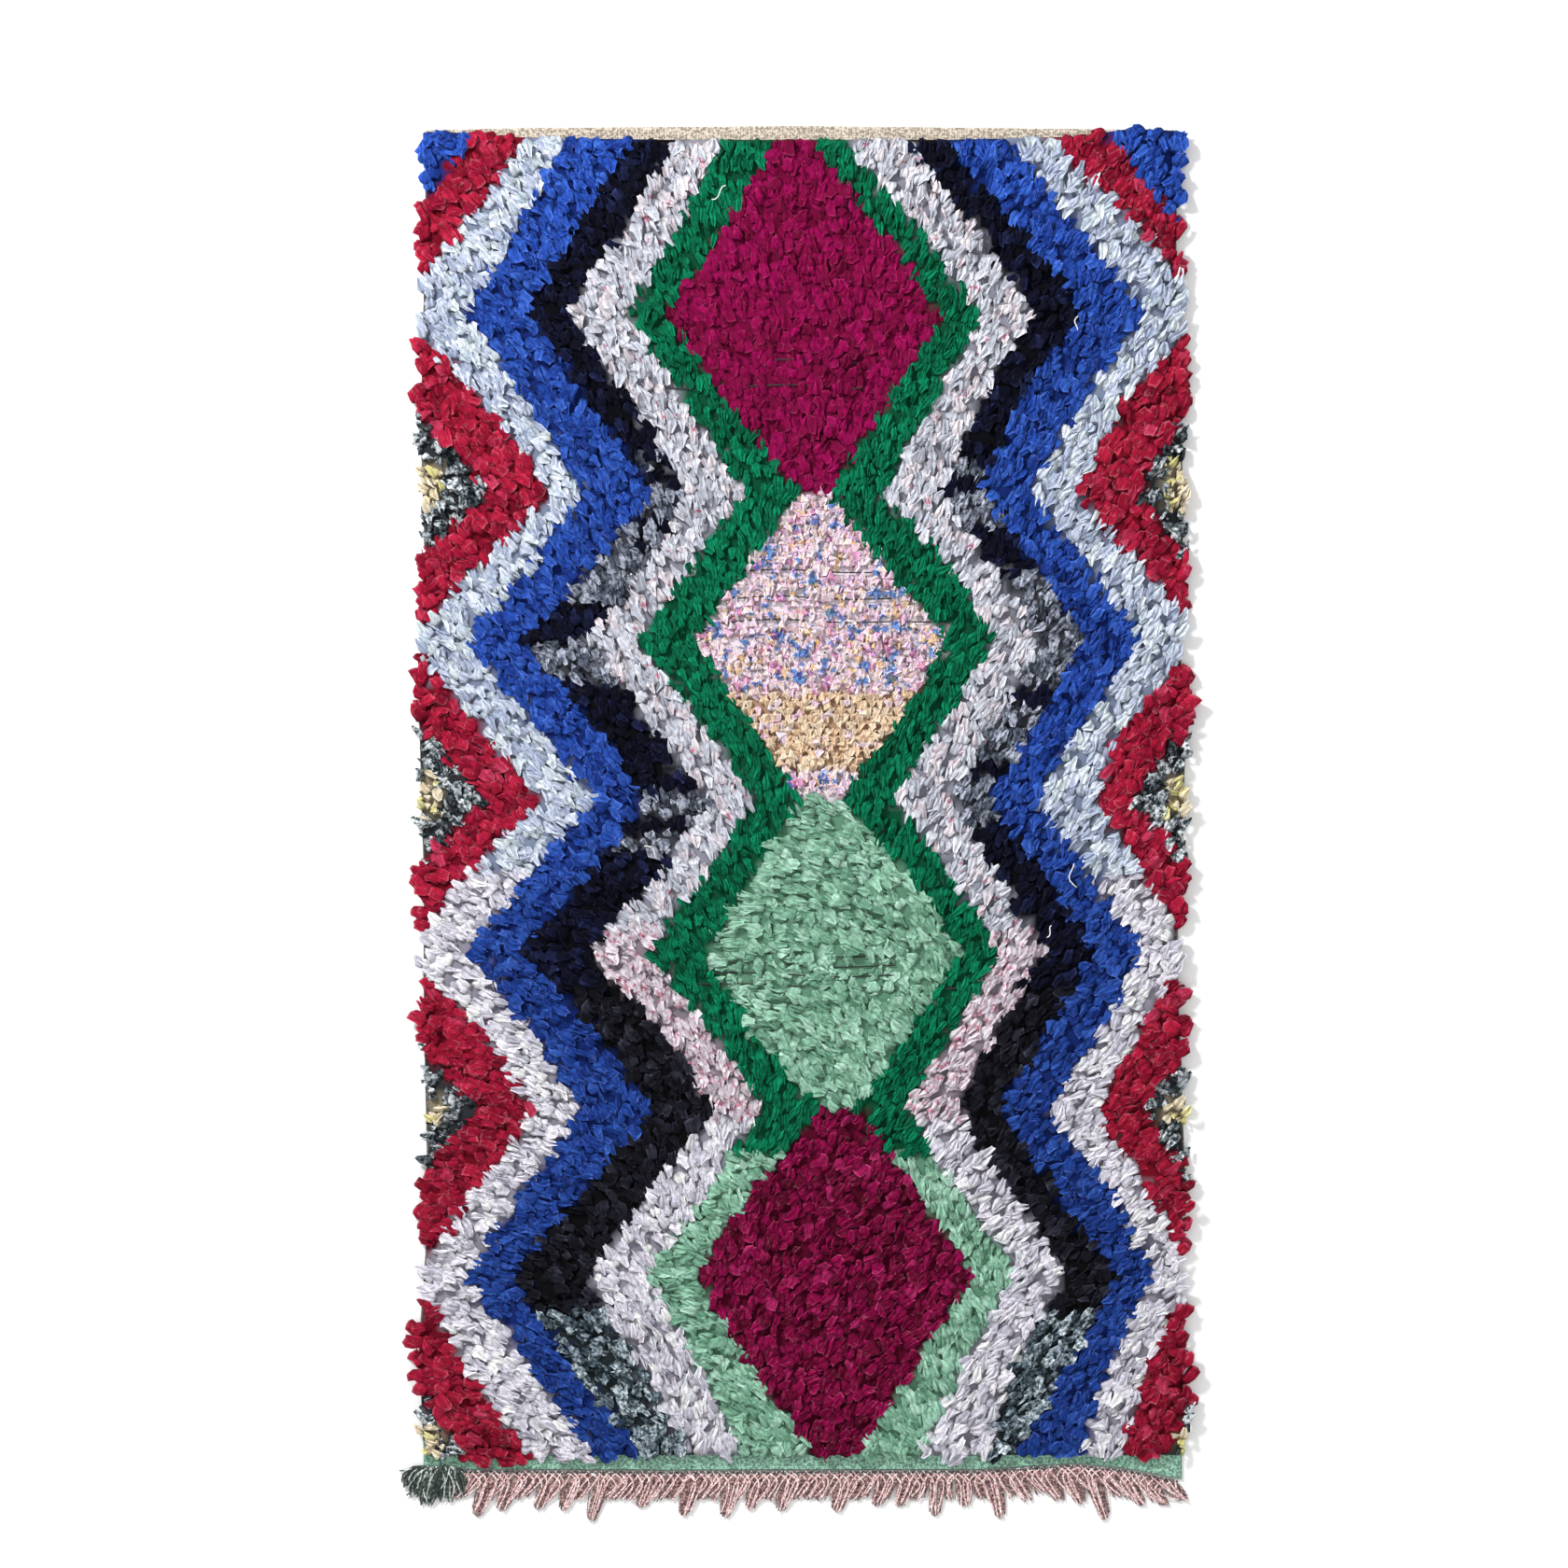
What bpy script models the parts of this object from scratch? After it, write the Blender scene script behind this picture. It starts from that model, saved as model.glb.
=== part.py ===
"""A hand-knotted rag rug, lying flat: ground, pile of torn rags, twined line, warp fringe, corner tuft."""

import math
from collections import namedtuple

import bmesh
import bpy
from mathutils import Vector, noise

# Driving sizes in metres. The rug's length runs along Y and the origin is under its middle, on the floor.
GAP = 0.0003
GROUND_THICK = 0.003
PILE_HEIGHT = 0.0155
PILE_RIM_HEIGHT = 0.0085
PILE_OVERHANG = 0.002
PILE_FLOOR = GROUND_THICK + GAP
RIM_SLOPE_WIDTH = 0.018
FINE_LUMP_PLANE = 3
PARTING_WANDER = 0.008
PILE_COLUMNS = 40
PILE_ROWS = 68
PILE_BOTTOM_Y = -0.885
ROUGH_WIDTH = 1.08
LUMP_HEIGHT = 0.0042
LUMP_SPACING = 0.045
TUFT_HEIGHT = 0.0018
TUFT_SHIFT = 0.003
LOCK_LENGTH = 0.0108
LOCK_TIP_THICK = 0.0042
LOCK_SKIP = 6
LOCK_LEAN = 0.35
# A lock's two steps: how far along it, how wide against its root, and how far down its underside has come.
LOCK_STEPS = [(0.55, 0.62, 0.6), (1.0, 0.34, 1.0)]
TWINE_RADIUS = 0.0018
TWINE_STEPS = 30
TWINE_INSET = 0.004
BACKING_WIDTH = 0.007
BACKING_THICK = 0.0022
STRAND_PITCH = 0.0117
STRAND_STEPS = (0.30, 0.65, 1.0)
STRAND_TIP_PITCH = 0.0046
STRAND_STEP = 0.004

# How wide and thick a strand of the fringe and a lock of the corner tuft are at their root and at their tip.
YarnSize = namedtuple("YarnSize", "width thick")
STRAND_ROOT = YarnSize(0.0072, 0.0034)
STRAND_TIP = YarnSize(0.0034, 0.0022)
TUFT_ROOT = YarnSize(0.0036, 0.0070)
TUFT_TIP = YarnSize(0.0029, 0.0040)

# The ground's selvedges: how far left and right the cloth reaches at each height.
Selvedge = namedtuple("Selvedge", "y left right")
SELVEDGES = [
    Selvedge(0.985, -0.535, 0.531),
    Selvedge(0.733, -0.537, 0.530),
    Selvedge(0.600, -0.544, 0.537),
    Selvedge(0.375, -0.536, 0.541),
    Selvedge(0.262, -0.537, 0.528),
    Selvedge(0.150, -0.546, 0.546),
    Selvedge(0.037, -0.541, 0.541),
    Selvedge(-0.175, -0.535, 0.528),
    Selvedge(-0.288, -0.542, 0.537),
    Selvedge(-0.407, -0.531, 0.538),
    Selvedge(-0.526, -0.534, 0.544),
    Selvedge(-0.639, -0.536, 0.532),
    Selvedge(-0.765, -0.547, 0.541),
    Selvedge(-0.860, -0.539, 0.543),
    Selvedge(-0.900, -0.538, 0.538),
]

# The ends of the cloth and the top edge of the pile, as heights along the width.
EndPoint = namedtuple("EndPoint", "x y")
CLOTH_TOP = [EndPoint(-0.535, 0.985), EndPoint(-0.42, 0.988), EndPoint(0.0, 0.991), EndPoint(0.531, 0.985)]
CLOTH_BOTTOM = [
    EndPoint(-0.538, -0.915),
    EndPoint(-0.20, -0.917),
    EndPoint(0.25, -0.916),
    EndPoint(0.384, -0.907),
    EndPoint(0.46, -0.915),
    EndPoint(0.534, -0.930),
]
PILE_TOP = [
    EndPoint(-0.55, 0.974),
    EndPoint(-0.48, 0.972),
    EndPoint(-0.42, 0.963),
    EndPoint(0.30, 0.963),
    EndPoint(0.42, 0.970),
    EndPoint(0.49, 0.980),
    EndPoint(0.55, 0.972),
]

# Soft partings across the pile, where the rug has been folded.
Parting = namedtuple("Parting", "y depth width")
PARTINGS = [Parting(0.640, 0.0030, 0.016), Parting(0.289, 0.0034, 0.014), Parting(-0.215, 0.0030, 0.016)]

# The points into which the fringe is gathered, as the place of each tip.
FringePoint = namedtuple("FringePoint", "x y")
FRINGE_POINTS = [
    FringePoint(-0.461, -0.984), FringePoint(-0.427, -0.977), FringePoint(-0.374, -0.974),
    FringePoint(-0.339, -0.975), FringePoint(-0.299, -0.991), FringePoint(-0.228, -0.971),
    FringePoint(-0.168, -0.983), FringePoint(-0.109, -0.986), FringePoint(-0.074, -0.974),
    FringePoint(-0.030, -0.976), FringePoint(0.049, -0.978), FringePoint(0.106, -0.969),
    FringePoint(0.138, -0.970), FringePoint(0.188, -0.983), FringePoint(0.230, -0.969),
    FringePoint(0.280, -0.987), FringePoint(0.318, -0.962), FringePoint(0.364, -0.962),
    FringePoint(0.394, -0.966), FringePoint(0.428, -0.988), FringePoint(0.480, -0.968),
    FringePoint(0.512, -0.968), FringePoint(0.540, -0.960),
]
FRINGE_LEFT = -0.488
FRINGE_RIGHT = 0.532

# The lobes of the corner tuft, as the place of each tip and the number of its locks.
Lobe = namedtuple("Lobe", "x y locks")
TUFT_LOBES = [Lobe(-0.560, -0.947, 3), Lobe(-0.537, -0.968, 4), Lobe(-0.500, -0.965, 4)]
TUFT_LEFT = -0.544
TUFT_RIGHT = -0.494
TUFT_TIP_PITCH = 0.0041

# The zigzag bands, from the lozenges outwards: half widths at a waist and at a belly of the pattern.
Band = namedtuple("Band", "name waist belly colour")
BANDS = [
    Band("lozenge_rags", 0.020, 0.172, (0.20, 0.004, 0.046)),
    Band("green_rags", 0.100, 0.248, (0.004, 0.107, 0.044)),
    Band("lilac_rags", 0.166, 0.322, (0.48, 0.48, 0.56)),
    Band("navy_rags", 0.238, 0.405, (0.003, 0.004, 0.011)),
    Band("blue_rags", 0.322, 0.482, (0.022, 0.065, 0.30)),
    Band("sky_rags", 0.386, 0.566, (0.37, 0.45, 0.61)),
    Band("red_rags", 0.470, 0.642, (0.27, 0.005, 0.024)),
    Band("grey_rags", 0.700, 0.800, (0.22, 0.24, 0.30)),
]
WAIST_HEIGHTS = [1.150, 0.472, 0.037, -0.407, -0.910]
BELLY_HEIGHTS = [0.726, 0.262, -0.179, -0.639]
MIDDLE_DRIFT = -0.017
MIDDLE_X = 0.026

WOOL_ROUGHNESS = 0.95


def along(table, at, key, value):
    """Reads the table's value at a place between two of its rows, in a straight line."""
    rows = sorted(table, key=lambda row: getattr(row, key))
    at = min(max(at, getattr(rows[0], key)), getattr(rows[-1], key))
    for low, high in zip(rows, rows[1:]):
        start, end = getattr(low, key), getattr(high, key)
        if at <= end:
            share = (at - start) / (end - start)
            return getattr(low, value) * (1 - share) + getattr(high, value) * share


def chance(*place):
    """A number from 0 to 1 that is always the same for one place."""
    return 0.5 + 0.5 * noise.cell(Vector([7.31 * part + 0.37 for part in (*place, 0.0, 0.0)[:3]]))


def material(name, colour, roughness=WOOL_ROUGHNESS):
    made = bpy.data.materials.new(name)
    made.use_nodes = True
    shader = made.node_tree.nodes["Principled BSDF"]
    shader.inputs["Base Color"].default_value = (*colour, 1)
    shader.inputs["Roughness"].default_value = roughness
    shader.inputs["Metallic"].default_value = 0
    made.diffuse_color = (*colour, 1)
    return made


def add_object(name, data, collection, *materials):
    made = bpy.data.objects.new(name, data)
    for each in materials:
        data.materials.append(each)
    collection.objects.link(made)
    return made


def finish_mesh(name, shape, collection, *materials):
    """Turns the faces outwards and makes the shape an object."""
    bmesh.ops.recalc_face_normals(shape, faces=shape.faces)
    mesh = bpy.data.meshes.new(name)
    shape.to_mesh(mesh)
    shape.free()
    return add_object(name, mesh, collection, *materials)


def build_ground(collection):
    """The cloth under the pile: one flat sheet with uneven selvedges and ends."""
    left = [(row.left, row.y) for row in SELVEDGES]
    right = [(row.right, row.y) for row in reversed(SELVEDGES)]
    bottom = [(point.x, point.y) for point in CLOTH_BOTTOM]
    top = [(point.x, point.y) for point in reversed(CLOTH_TOP[1:-1])]
    outline = left + bottom + right + top
    curve = bpy.data.curves.new("ground_weave", "CURVE")
    curve.dimensions = "2D"
    curve.fill_mode = "BOTH"
    curve.extrude = GROUND_THICK / 2
    spline = curve.splines.new("POLY")
    spline.points.add(len(outline) - 1)
    for point, place in zip(spline.points, outline):
        point.co = (*place, 0, 1)
    spline.use_cyclic_u = True
    ground = add_object("ground_weave", curve, collection, material("cream_cotton", (0.50, 0.45, 0.37)))
    ground.location.z = GROUND_THICK / 2


def pile_surface(x, y, from_rim):
    """The height of the pile's top: lumps of rags, partings where it was folded, a rim that slopes down."""
    coarse = noise.noise(Vector((x, y, 0)) / LUMP_SPACING)
    fine = noise.noise(Vector((x, y, FINE_LUMP_PLANE)) / LUMP_SPACING * 2.1)
    tuft = chance(x * 97, y * 97) - 0.5
    parted = 0
    for row in PARTINGS:
        wander = PARTING_WANDER * noise.noise(Vector((x * 5, row.y, 1)))
        strength = 0.6 + 0.4 * noise.noise(Vector((x * 9, row.y, 7)))
        parted += row.depth * strength * math.exp(-(((y - row.y - wander) / row.width) ** 2))
    near_rim = math.exp(-((from_rim / RIM_SLOPE_WIDTH) ** 2))
    rim = (PILE_HEIGHT - PILE_RIM_HEIGHT) * near_rim
    lumps = LUMP_HEIGHT * (coarse + fine / 2) + 2 * TUFT_HEIGHT * tuft
    return PILE_FLOOR + PILE_HEIGHT - rim - parted + lumps * (1 - 0.6 * near_rim)


def band_at(x, y):
    """The band of the pattern at a place on the pile."""
    turns = sorted([(height, 0) for height in WAIST_HEIGHTS] + [(height, 1) for height in BELLY_HEIGHTS])
    spread = 0
    for (low, start), (high, end) in zip(turns, turns[1:]):
        if low <= y <= high:
            spread = start + (end - start) * (y - low) / (high - low)
    side = abs(x - MIDDLE_X - MIDDLE_DRIFT * y)
    for index, band in enumerate(BANDS):
        if side <= band.waist + (band.belly - band.waist) * spread:
            return index
    return len(BANDS) - 1


def grow_lock(shape, face, outward, lean, length, tip_floor):
    """One lock of rags: the rim's face drawn out in steps, narrower each time, down to what it lies on."""
    sideways = Vector((-outward.y, outward.x, 0))
    way = outward + sideways * lean
    root = face.calc_center_median()
    half_width = max((vert.co - root).dot(sideways) for vert in face.verts)
    root_floor = min(vert.co.z for vert in face.verts)
    root_thick = max(vert.co.z for vert in face.verts) - root_floor
    for share, width, droop in LOCK_STEPS:
        face = bmesh.ops.extrude_discrete_faces(shape, faces=[face])["faces"][0]
        middle = face.calc_center_median()
        base = root + way * length * share
        floor = root_floor + (tip_floor - root_floor) * droop
        thick = root_thick + (LOCK_TIP_THICK - root_thick) * share * share
        for vert in face.verts:
            side = math.copysign(half_width * width, (vert.co - middle).dot(sideways))
            lift = thick if vert.co.z > middle.z else 0
            vert.co = Vector((base.x, base.y, floor + lift)) + sideways * side


def build_pile(collection):
    """The rags lie over each other as one lumpy mat on the ground, with locks that stand out at its rim."""
    shape = bmesh.new()
    bmesh.ops.create_grid(shape, x_segments=PILE_COLUMNS, y_segments=PILE_ROWS, size=0.5)
    for vert in shape.verts:
        across = vert.co.x + 0.5
        up = vert.co.y + 0.5
        top = along(PILE_TOP, vert.co.x * ROUGH_WIDTH, "x", "y")
        y = PILE_BOTTOM_Y + (top - PILE_BOTTOM_Y) * up
        left = along(SELVEDGES, y, "y", "left") - PILE_OVERHANG
        right = along(SELVEDGES, y, "y", "right") + PILE_OVERHANG
        x = left + (right - left) * across
        if 0.001 < across < 0.999 and 0.001 < up < 0.999:
            x += TUFT_SHIFT * (2 * chance(across * PILE_COLUMNS, up * PILE_ROWS) - 1)
            y += TUFT_SHIFT * (2 * chance(up * PILE_ROWS, across * PILE_COLUMNS, 5) - 1)
        from_rim = min(x - left, right - x, y - PILE_BOTTOM_Y, top - y)
        vert.co = (x, y, pile_surface(x, y, max(from_rim, 0)))
    for face in shape.faces:
        middle = face.calc_center_median()
        face.material_index = band_at(middle.x, middle.y)
    rim = [edge for edge in shape.edges if edge.is_boundary]
    skirt = bmesh.ops.extrude_edge_only(shape, edges=rim)["geom"]
    for vert in skirt:
        if isinstance(vert, bmesh.types.BMVert):
            vert.co.z = PILE_FLOOR
    sides = [face for face in skirt if isinstance(face, bmesh.types.BMFace)]
    under = [edge for edge in shape.edges if edge.is_boundary]
    bmesh.ops.contextual_create(shape, geom=under)
    bmesh.ops.recalc_face_normals(shape, faces=shape.faces)
    for count, face in enumerate(sides):
        if count % LOCK_SKIP == 0:
            continue
        middle = face.calc_center_median()
        on_end = abs(face.normal.y) > abs(face.normal.x)
        outward = Vector((0, middle.y, 0) if on_end else (middle.x, 0, 0)).normalized()
        lean = LOCK_LEAN * (2 * chance(middle.x * 31, middle.y * 31) - 1)
        length = LOCK_LENGTH * (0.7 + 0.9 * chance(middle.y * 43, middle.x * 43, 2))
        face.material_index = band_at(middle.x, middle.y)
        grow_lock(shape, face, outward, lean, length, PILE_FLOOR if on_end else 0)
    finish_mesh("rag_pile", shape, collection, *[material(band.name, band.colour) for band in BANDS])


def build_twining(collection):
    """The dark twined line lies on the fringe's backing, along the bottom edge of the cloth."""
    curve = bpy.data.curves.new("end_twining", "CURVE")
    curve.dimensions = "3D"
    curve.bevel_depth = TWINE_RADIUS
    curve.bevel_resolution = 1
    curve.use_fill_caps = True
    spline = curve.splines.new("POLY")
    spline.points.add(TWINE_STEPS)
    start, end = FRINGE_LEFT + TWINE_INSET, FRINGE_RIGHT - TWINE_INSET
    for step, point in enumerate(spline.points):
        x = start + (end - start) * step / TWINE_STEPS
        y = along(CLOTH_BOTTOM, x, "x", "y") - GAP - BACKING_WIDTH / 2
        point.co = (x, y, BACKING_THICK + GAP + TWINE_RADIUS, 1)
    add_object("end_twining", curve, collection, material("dark_wool", (0.010, 0.011, 0.013)))


def backing_strip(shape, crossings):
    """A narrow strip along the cloth's bottom edge, with a cross-section at each place from left to right."""
    section = [bmesh.ops.create_vert(shape, co=(0, 0, 0))["vert"][0] for corner in range(4)]
    face = shape.faces.new(section)
    for x in crossings:
        back = along(CLOTH_BOTTOM, x, "x", "y") - GAP
        front = back - BACKING_WIDTH
        corners = ((back, 0), (front, 0), (front, BACKING_THICK), (back, BACKING_THICK))
        if x != crossings[0]:
            grown = bmesh.ops.extrude_face_region(shape, geom=[face])["geom"]
            section = order_section(grown, section)
            if x != crossings[1]:
                bmesh.ops.delete(shape, geom=[face], context="FACES_ONLY")
            face = next(item for item in grown if isinstance(item, bmesh.types.BMFace))
        for vert, (y, z) in zip(section, corners):
            vert.co = (x, y, z)


def order_section(grown, section):
    """The corners that an extrusion made, in the order of the section that it grew from."""
    fresh = {item for item in grown if isinstance(item, bmesh.types.BMVert)}
    ordered = []
    for vert in section:
        ordered += [edge.other_vert(vert) for edge in vert.link_edges if edge.other_vert(vert) in fresh]
    return ordered


def grow_strand(shape, face, tip, start, end):
    """One strand, level on the floor, in a soft bend from the backing to its tip, between two sizes."""
    root = face.calc_center_median()
    drop = root.y - tip.y
    for share in STRAND_STEPS:
        sway = share * share * (3 - 2 * share)
        face = bmesh.ops.extrude_discrete_faces(shape, faces=[face])["faces"][0]
        middle = face.calc_center_median()
        centre_x = root.x + (tip.x - root.x) * sway
        centre_y = root.y - drop * share
        half = (start.width + (end.width - start.width) * share) / 2
        top = start.thick + (end.thick - start.thick) * share
        for vert in face.verts:
            side = math.copysign(half, vert.co.x - middle.x)
            vert.co = Vector((centre_x + side, centre_y, top if vert.co.z > middle.z else 0))


def root_faces(shape, roots):
    """The backing's front faces at the places of the roots, from left to right."""
    bmesh.ops.recalc_face_normals(shape, faces=shape.faces)
    front = [face for face in shape.faces if face.normal.y < -0.9]
    return [min(front, key=lambda face: abs(face.calc_center_median().x - root)) for root in roots]


def crossings_of(left, right, roots, width):
    """The places of the backing's cross-sections: its two ends and both sides of each root."""
    places = [left]
    for root in roots:
        places += [root - width / 2, root + width / 2]
    return places + [right]


def build_fringe(collection):
    """The looped warp ends: strands on one backing, gathered into points that lie level on the floor."""
    count = int((FRINGE_RIGHT - FRINGE_LEFT) / STRAND_PITCH)
    roots = [FRINGE_LEFT + (index + 0.5) * (FRINGE_RIGHT - FRINGE_LEFT) / count for index in range(count)]
    shape = bmesh.new()
    backing_strip(shape, crossings_of(FRINGE_LEFT, FRINGE_RIGHT, roots, STRAND_ROOT.width))
    faces = root_faces(shape, roots)
    gathered = {point: [] for point in FRINGE_POINTS}
    for root, face in zip(roots, faces):
        nearest = min(FRINGE_POINTS, key=lambda point: abs(point.x - root))
        gathered[nearest].append(face)
    for point, members in gathered.items():
        for place, face in enumerate(members):
            aside = place - (len(members) - 1) / 2
            shorter = STRAND_STEP * (abs(aside) + chance(point.x * 71, place))
            tip = Vector((point.x + aside * STRAND_TIP_PITCH, point.y + shorter, 0))
            grow_strand(shape, face, tip, STRAND_ROOT, STRAND_TIP)
    finish_mesh("warp_fringe", shape, collection, material("pink_cotton", (0.37, 0.27, 0.27)))


def build_corner_tuft(collection):
    """The weft ends at the bottom left corner: thick locks on a short backing, in three lobes."""
    count = sum(lobe.locks for lobe in TUFT_LOBES)
    roots = [TUFT_LEFT + (index + 0.5) * (TUFT_RIGHT - TUFT_LEFT) / count for index in range(count)]
    shape = bmesh.new()
    backing_strip(shape, crossings_of(TUFT_LEFT, TUFT_RIGHT, roots, TUFT_ROOT.width))
    faces = iter(root_faces(shape, roots))
    for lobe in TUFT_LOBES:
        for place in range(lobe.locks):
            aside = place - (lobe.locks - 1) / 2
            tip = Vector((lobe.x + aside * TUFT_TIP_PITCH, lobe.y + STRAND_STEP * abs(aside), 0))
            grow_strand(shape, next(faces), tip, TUFT_ROOT, TUFT_TIP)
    finish_mesh("corner_tuft", shape, collection, material("dark_green_wool", (0.045, 0.075, 0.062)))


def build_rug():
    for old in list(bpy.data.objects):
        bpy.data.objects.remove(old)
    rug = bpy.data.collections.new("berber_rug")
    bpy.context.scene.collection.children.link(rug)
    build_ground(rug)
    build_pile(rug)
    build_twining(rug)
    build_fringe(rug)
    build_corner_tuft(rug)


build_rug()
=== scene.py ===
import math
import random
from collections import namedtuple

import bmesh
import bpy
import numpy as np
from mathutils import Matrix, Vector, noise


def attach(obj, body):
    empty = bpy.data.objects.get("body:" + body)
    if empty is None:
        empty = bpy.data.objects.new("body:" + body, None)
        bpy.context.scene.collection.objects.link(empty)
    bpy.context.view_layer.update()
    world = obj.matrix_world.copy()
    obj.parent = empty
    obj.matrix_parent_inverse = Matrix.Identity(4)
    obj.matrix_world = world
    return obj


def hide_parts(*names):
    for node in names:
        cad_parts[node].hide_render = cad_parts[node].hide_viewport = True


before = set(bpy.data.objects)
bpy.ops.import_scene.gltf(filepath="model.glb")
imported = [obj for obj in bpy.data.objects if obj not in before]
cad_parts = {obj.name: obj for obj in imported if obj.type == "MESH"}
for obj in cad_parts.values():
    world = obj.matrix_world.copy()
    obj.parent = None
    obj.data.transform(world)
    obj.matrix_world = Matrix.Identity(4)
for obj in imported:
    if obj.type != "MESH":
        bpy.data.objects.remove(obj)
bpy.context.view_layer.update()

# The rug lies flat and is seen from straight above, so the camera is a long lens high over it.
# The photo's pixels have one real size, which places the frame, and +Y is up in the picture.
PHOTO_SIZE = 1680
PIXEL = 0.001325
RUG_MIDDLE_PIXEL = (860, 883)
CAMERA_HEIGHT = 9.0
SENSOR_WIDTH = 36.0

scene = bpy.context.scene


def placed(name, data):
    """A new object in the scene."""
    item = bpy.data.objects.new(name, data)
    scene.collection.objects.link(item)
    return item


lens = bpy.data.cameras.new("studio_camera")
lens.sensor_width = SENSOR_WIDTH
lens.lens = SENSOR_WIDTH * CAMERA_HEIGHT / (PHOTO_SIZE * PIXEL)
lens.clip_end = 40
camera = placed("studio_camera", lens)
camera.location = (
    (PHOTO_SIZE / 2 - RUG_MIDDLE_PIXEL[0]) * PIXEL,
    (RUG_MIDDLE_PIXEL[1] - PHOTO_SIZE / 2) * PIXEL,
    CAMERA_HEIGHT,
)
scene.camera = camera
scene.view_settings.view_transform = "Standard"

# The floor is a plain pale board, and the light is soft: one broad lamp up past the top left corner of
# the rug, a weaker one opposite, and an even white surround.
FLOOR_SIDE = 40.0
FLOOR_DROP = 0.0006
WORLD_STRENGTH = 0.80


def mesh_from(grid, name):
    """The mesh of a grid that is now in shape."""
    mesh = bpy.data.meshes.new(name)
    grid.to_mesh(mesh)
    grid.free()
    return mesh


floor_shape = bmesh.new()
bmesh.ops.create_grid(floor_shape, x_segments=1, y_segments=1, size=FLOOR_SIDE / 2)
for vert in floor_shape.verts:
    vert.co.z = -FLOOR_DROP
floor = placed("floor", mesh_from(floor_shape, "floor"))
floor_finish = bpy.data.materials.new("pale_floor")
floor_finish.use_nodes = True
floor_shader = floor_finish.node_tree.nodes["Principled BSDF"]
floor_shader.inputs["Base Color"].default_value = (0.90, 0.90, 0.90, 1)
floor_shader.inputs["Roughness"].default_value = 0.9
floor.data.materials.append(floor_finish)

surround = bpy.data.worlds.new("studio_surround")
surround.use_nodes = True
surround_light = surround.node_tree.nodes["Background"].inputs
surround_light["Color"].default_value = (1, 1, 1, 1)
surround_light["Strength"].default_value = WORLD_STRENGTH
scene.world = surround


def soft_lamp(name, place, side, power):
    """A square lamp that looks at the middle of the rug."""
    data = bpy.data.lights.new(name, "AREA")
    data.shape = "SQUARE"
    data.size = side
    data.energy = power
    lamp = placed(name, data)
    lamp.location = place
    lamp.rotation_euler = (-Vector(place)).to_track_quat("-Z", "Y").to_euler()


soft_lamp("key_lamp", place=(-2.8, 3.2, 3.1), side=0.7, power=275)
soft_lamp("fill_lamp", place=(2.8, -2.4, 3.2), side=2.4, power=26)

# The cloth under the pile is woven of cotton in one piece, a little uneven at its selvedges. Its top end
# is bare cream weave with dark flecks, and its bottom end is a flat green band, beaten up hard.
Selvedge = namedtuple("Selvedge", "y left right")
SELVEDGES = [
    Selvedge(0.985, -0.535, 0.531), Selvedge(0.733, -0.537, 0.530), Selvedge(0.600, -0.544, 0.537),
    Selvedge(0.375, -0.536, 0.541), Selvedge(0.262, -0.537, 0.528), Selvedge(0.150, -0.546, 0.546),
    Selvedge(0.037, -0.541, 0.541), Selvedge(-0.175, -0.535, 0.528), Selvedge(-0.288, -0.542, 0.537),
    Selvedge(-0.407, -0.531, 0.538), Selvedge(-0.526, -0.534, 0.544), Selvedge(-0.639, -0.536, 0.532),
    Selvedge(-0.765, -0.547, 0.541), Selvedge(-0.860, -0.539, 0.543), Selvedge(-0.900, -0.538, 0.538),
]
Place = namedtuple("Place", "x y")
CLOTH_TOP = [Place(-0.535, 0.985), Place(-0.42, 0.988), Place(0.0, 0.991), Place(0.531, 0.985)]
CLOTH_BOTTOM = [
    Place(-0.538, -0.915), Place(-0.20, -0.917), Place(0.25, -0.916),
    Place(0.384, -0.907), Place(0.46, -0.915), Place(0.534, -0.930),
]
GROUND_LEFT = -0.538
GROUND_SPAN = 1.072
GROUND_TOP_Z = 0.0029
GROUND_THICK = 0.0026
GROUND_COLUMNS = 110
END_DEPTH = 0.045
END_ROWS = 18
MIDDLE_ROWS = 14
ALL_ROWS = 2 * END_ROWS + MIDDLE_ROWS
RIB_HEIGHT = 0.00022
WAVE_HEIGHT = 0.0004
WAVES_ACROSS = 14
WAVES_ALONG = 9
GREEN_WEAVE = (138, 182, 160)
HIDDEN_WEAVE = (96, 90, 84)
CREAM_WEAVE = (192, 180, 164)
GREEN_END_SHARE = 0.062
CREAM_END_SHARE = 0.980


def along(table, at, key, value):
    """Reads the table's value at places between its rows, in straight lines."""
    rows = sorted(table, key=lambda row: getattr(row, key))
    return np.interp(at, [getattr(row, key) for row in rows], [getattr(row, value) for row in rows])


def cloth_end(x):
    """Where the cloth ends above the fringe."""
    return along(CLOTH_BOTTOM, x, "x", "y")


def selvedges_at(y, inset=0):
    """How far the cloth reaches to the left and to the right, less the inset."""
    return along(SELVEDGES, y, "y", "left") + inset, along(SELVEDGES, y, "y", "right") - inset


def dyed(red, green, blue):
    """A colour given as a dyer's card reads it, 0 to 255, as the shader needs it."""
    steps = np.array([red, green, blue]) / 255
    return np.where(steps > 0.04045, ((steps + 0.055) / 1.055) ** 2.4, steps / 12.92)


def add_piece(name, mesh, finish, solid):
    """A finished piece that lies with the rug and stands for one of its solids."""
    piece = placed(name, mesh)
    mesh.materials.append(finish)
    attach(piece, "root")
    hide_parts(solid)
    return piece


def thicken(piece, depth):
    """Gives a sheet its thickness, downwards from its face."""
    thickness = piece.modifiers.new("thickness", "SOLIDIFY")
    thickness.thickness = depth
    thickness.offset = -1


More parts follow.
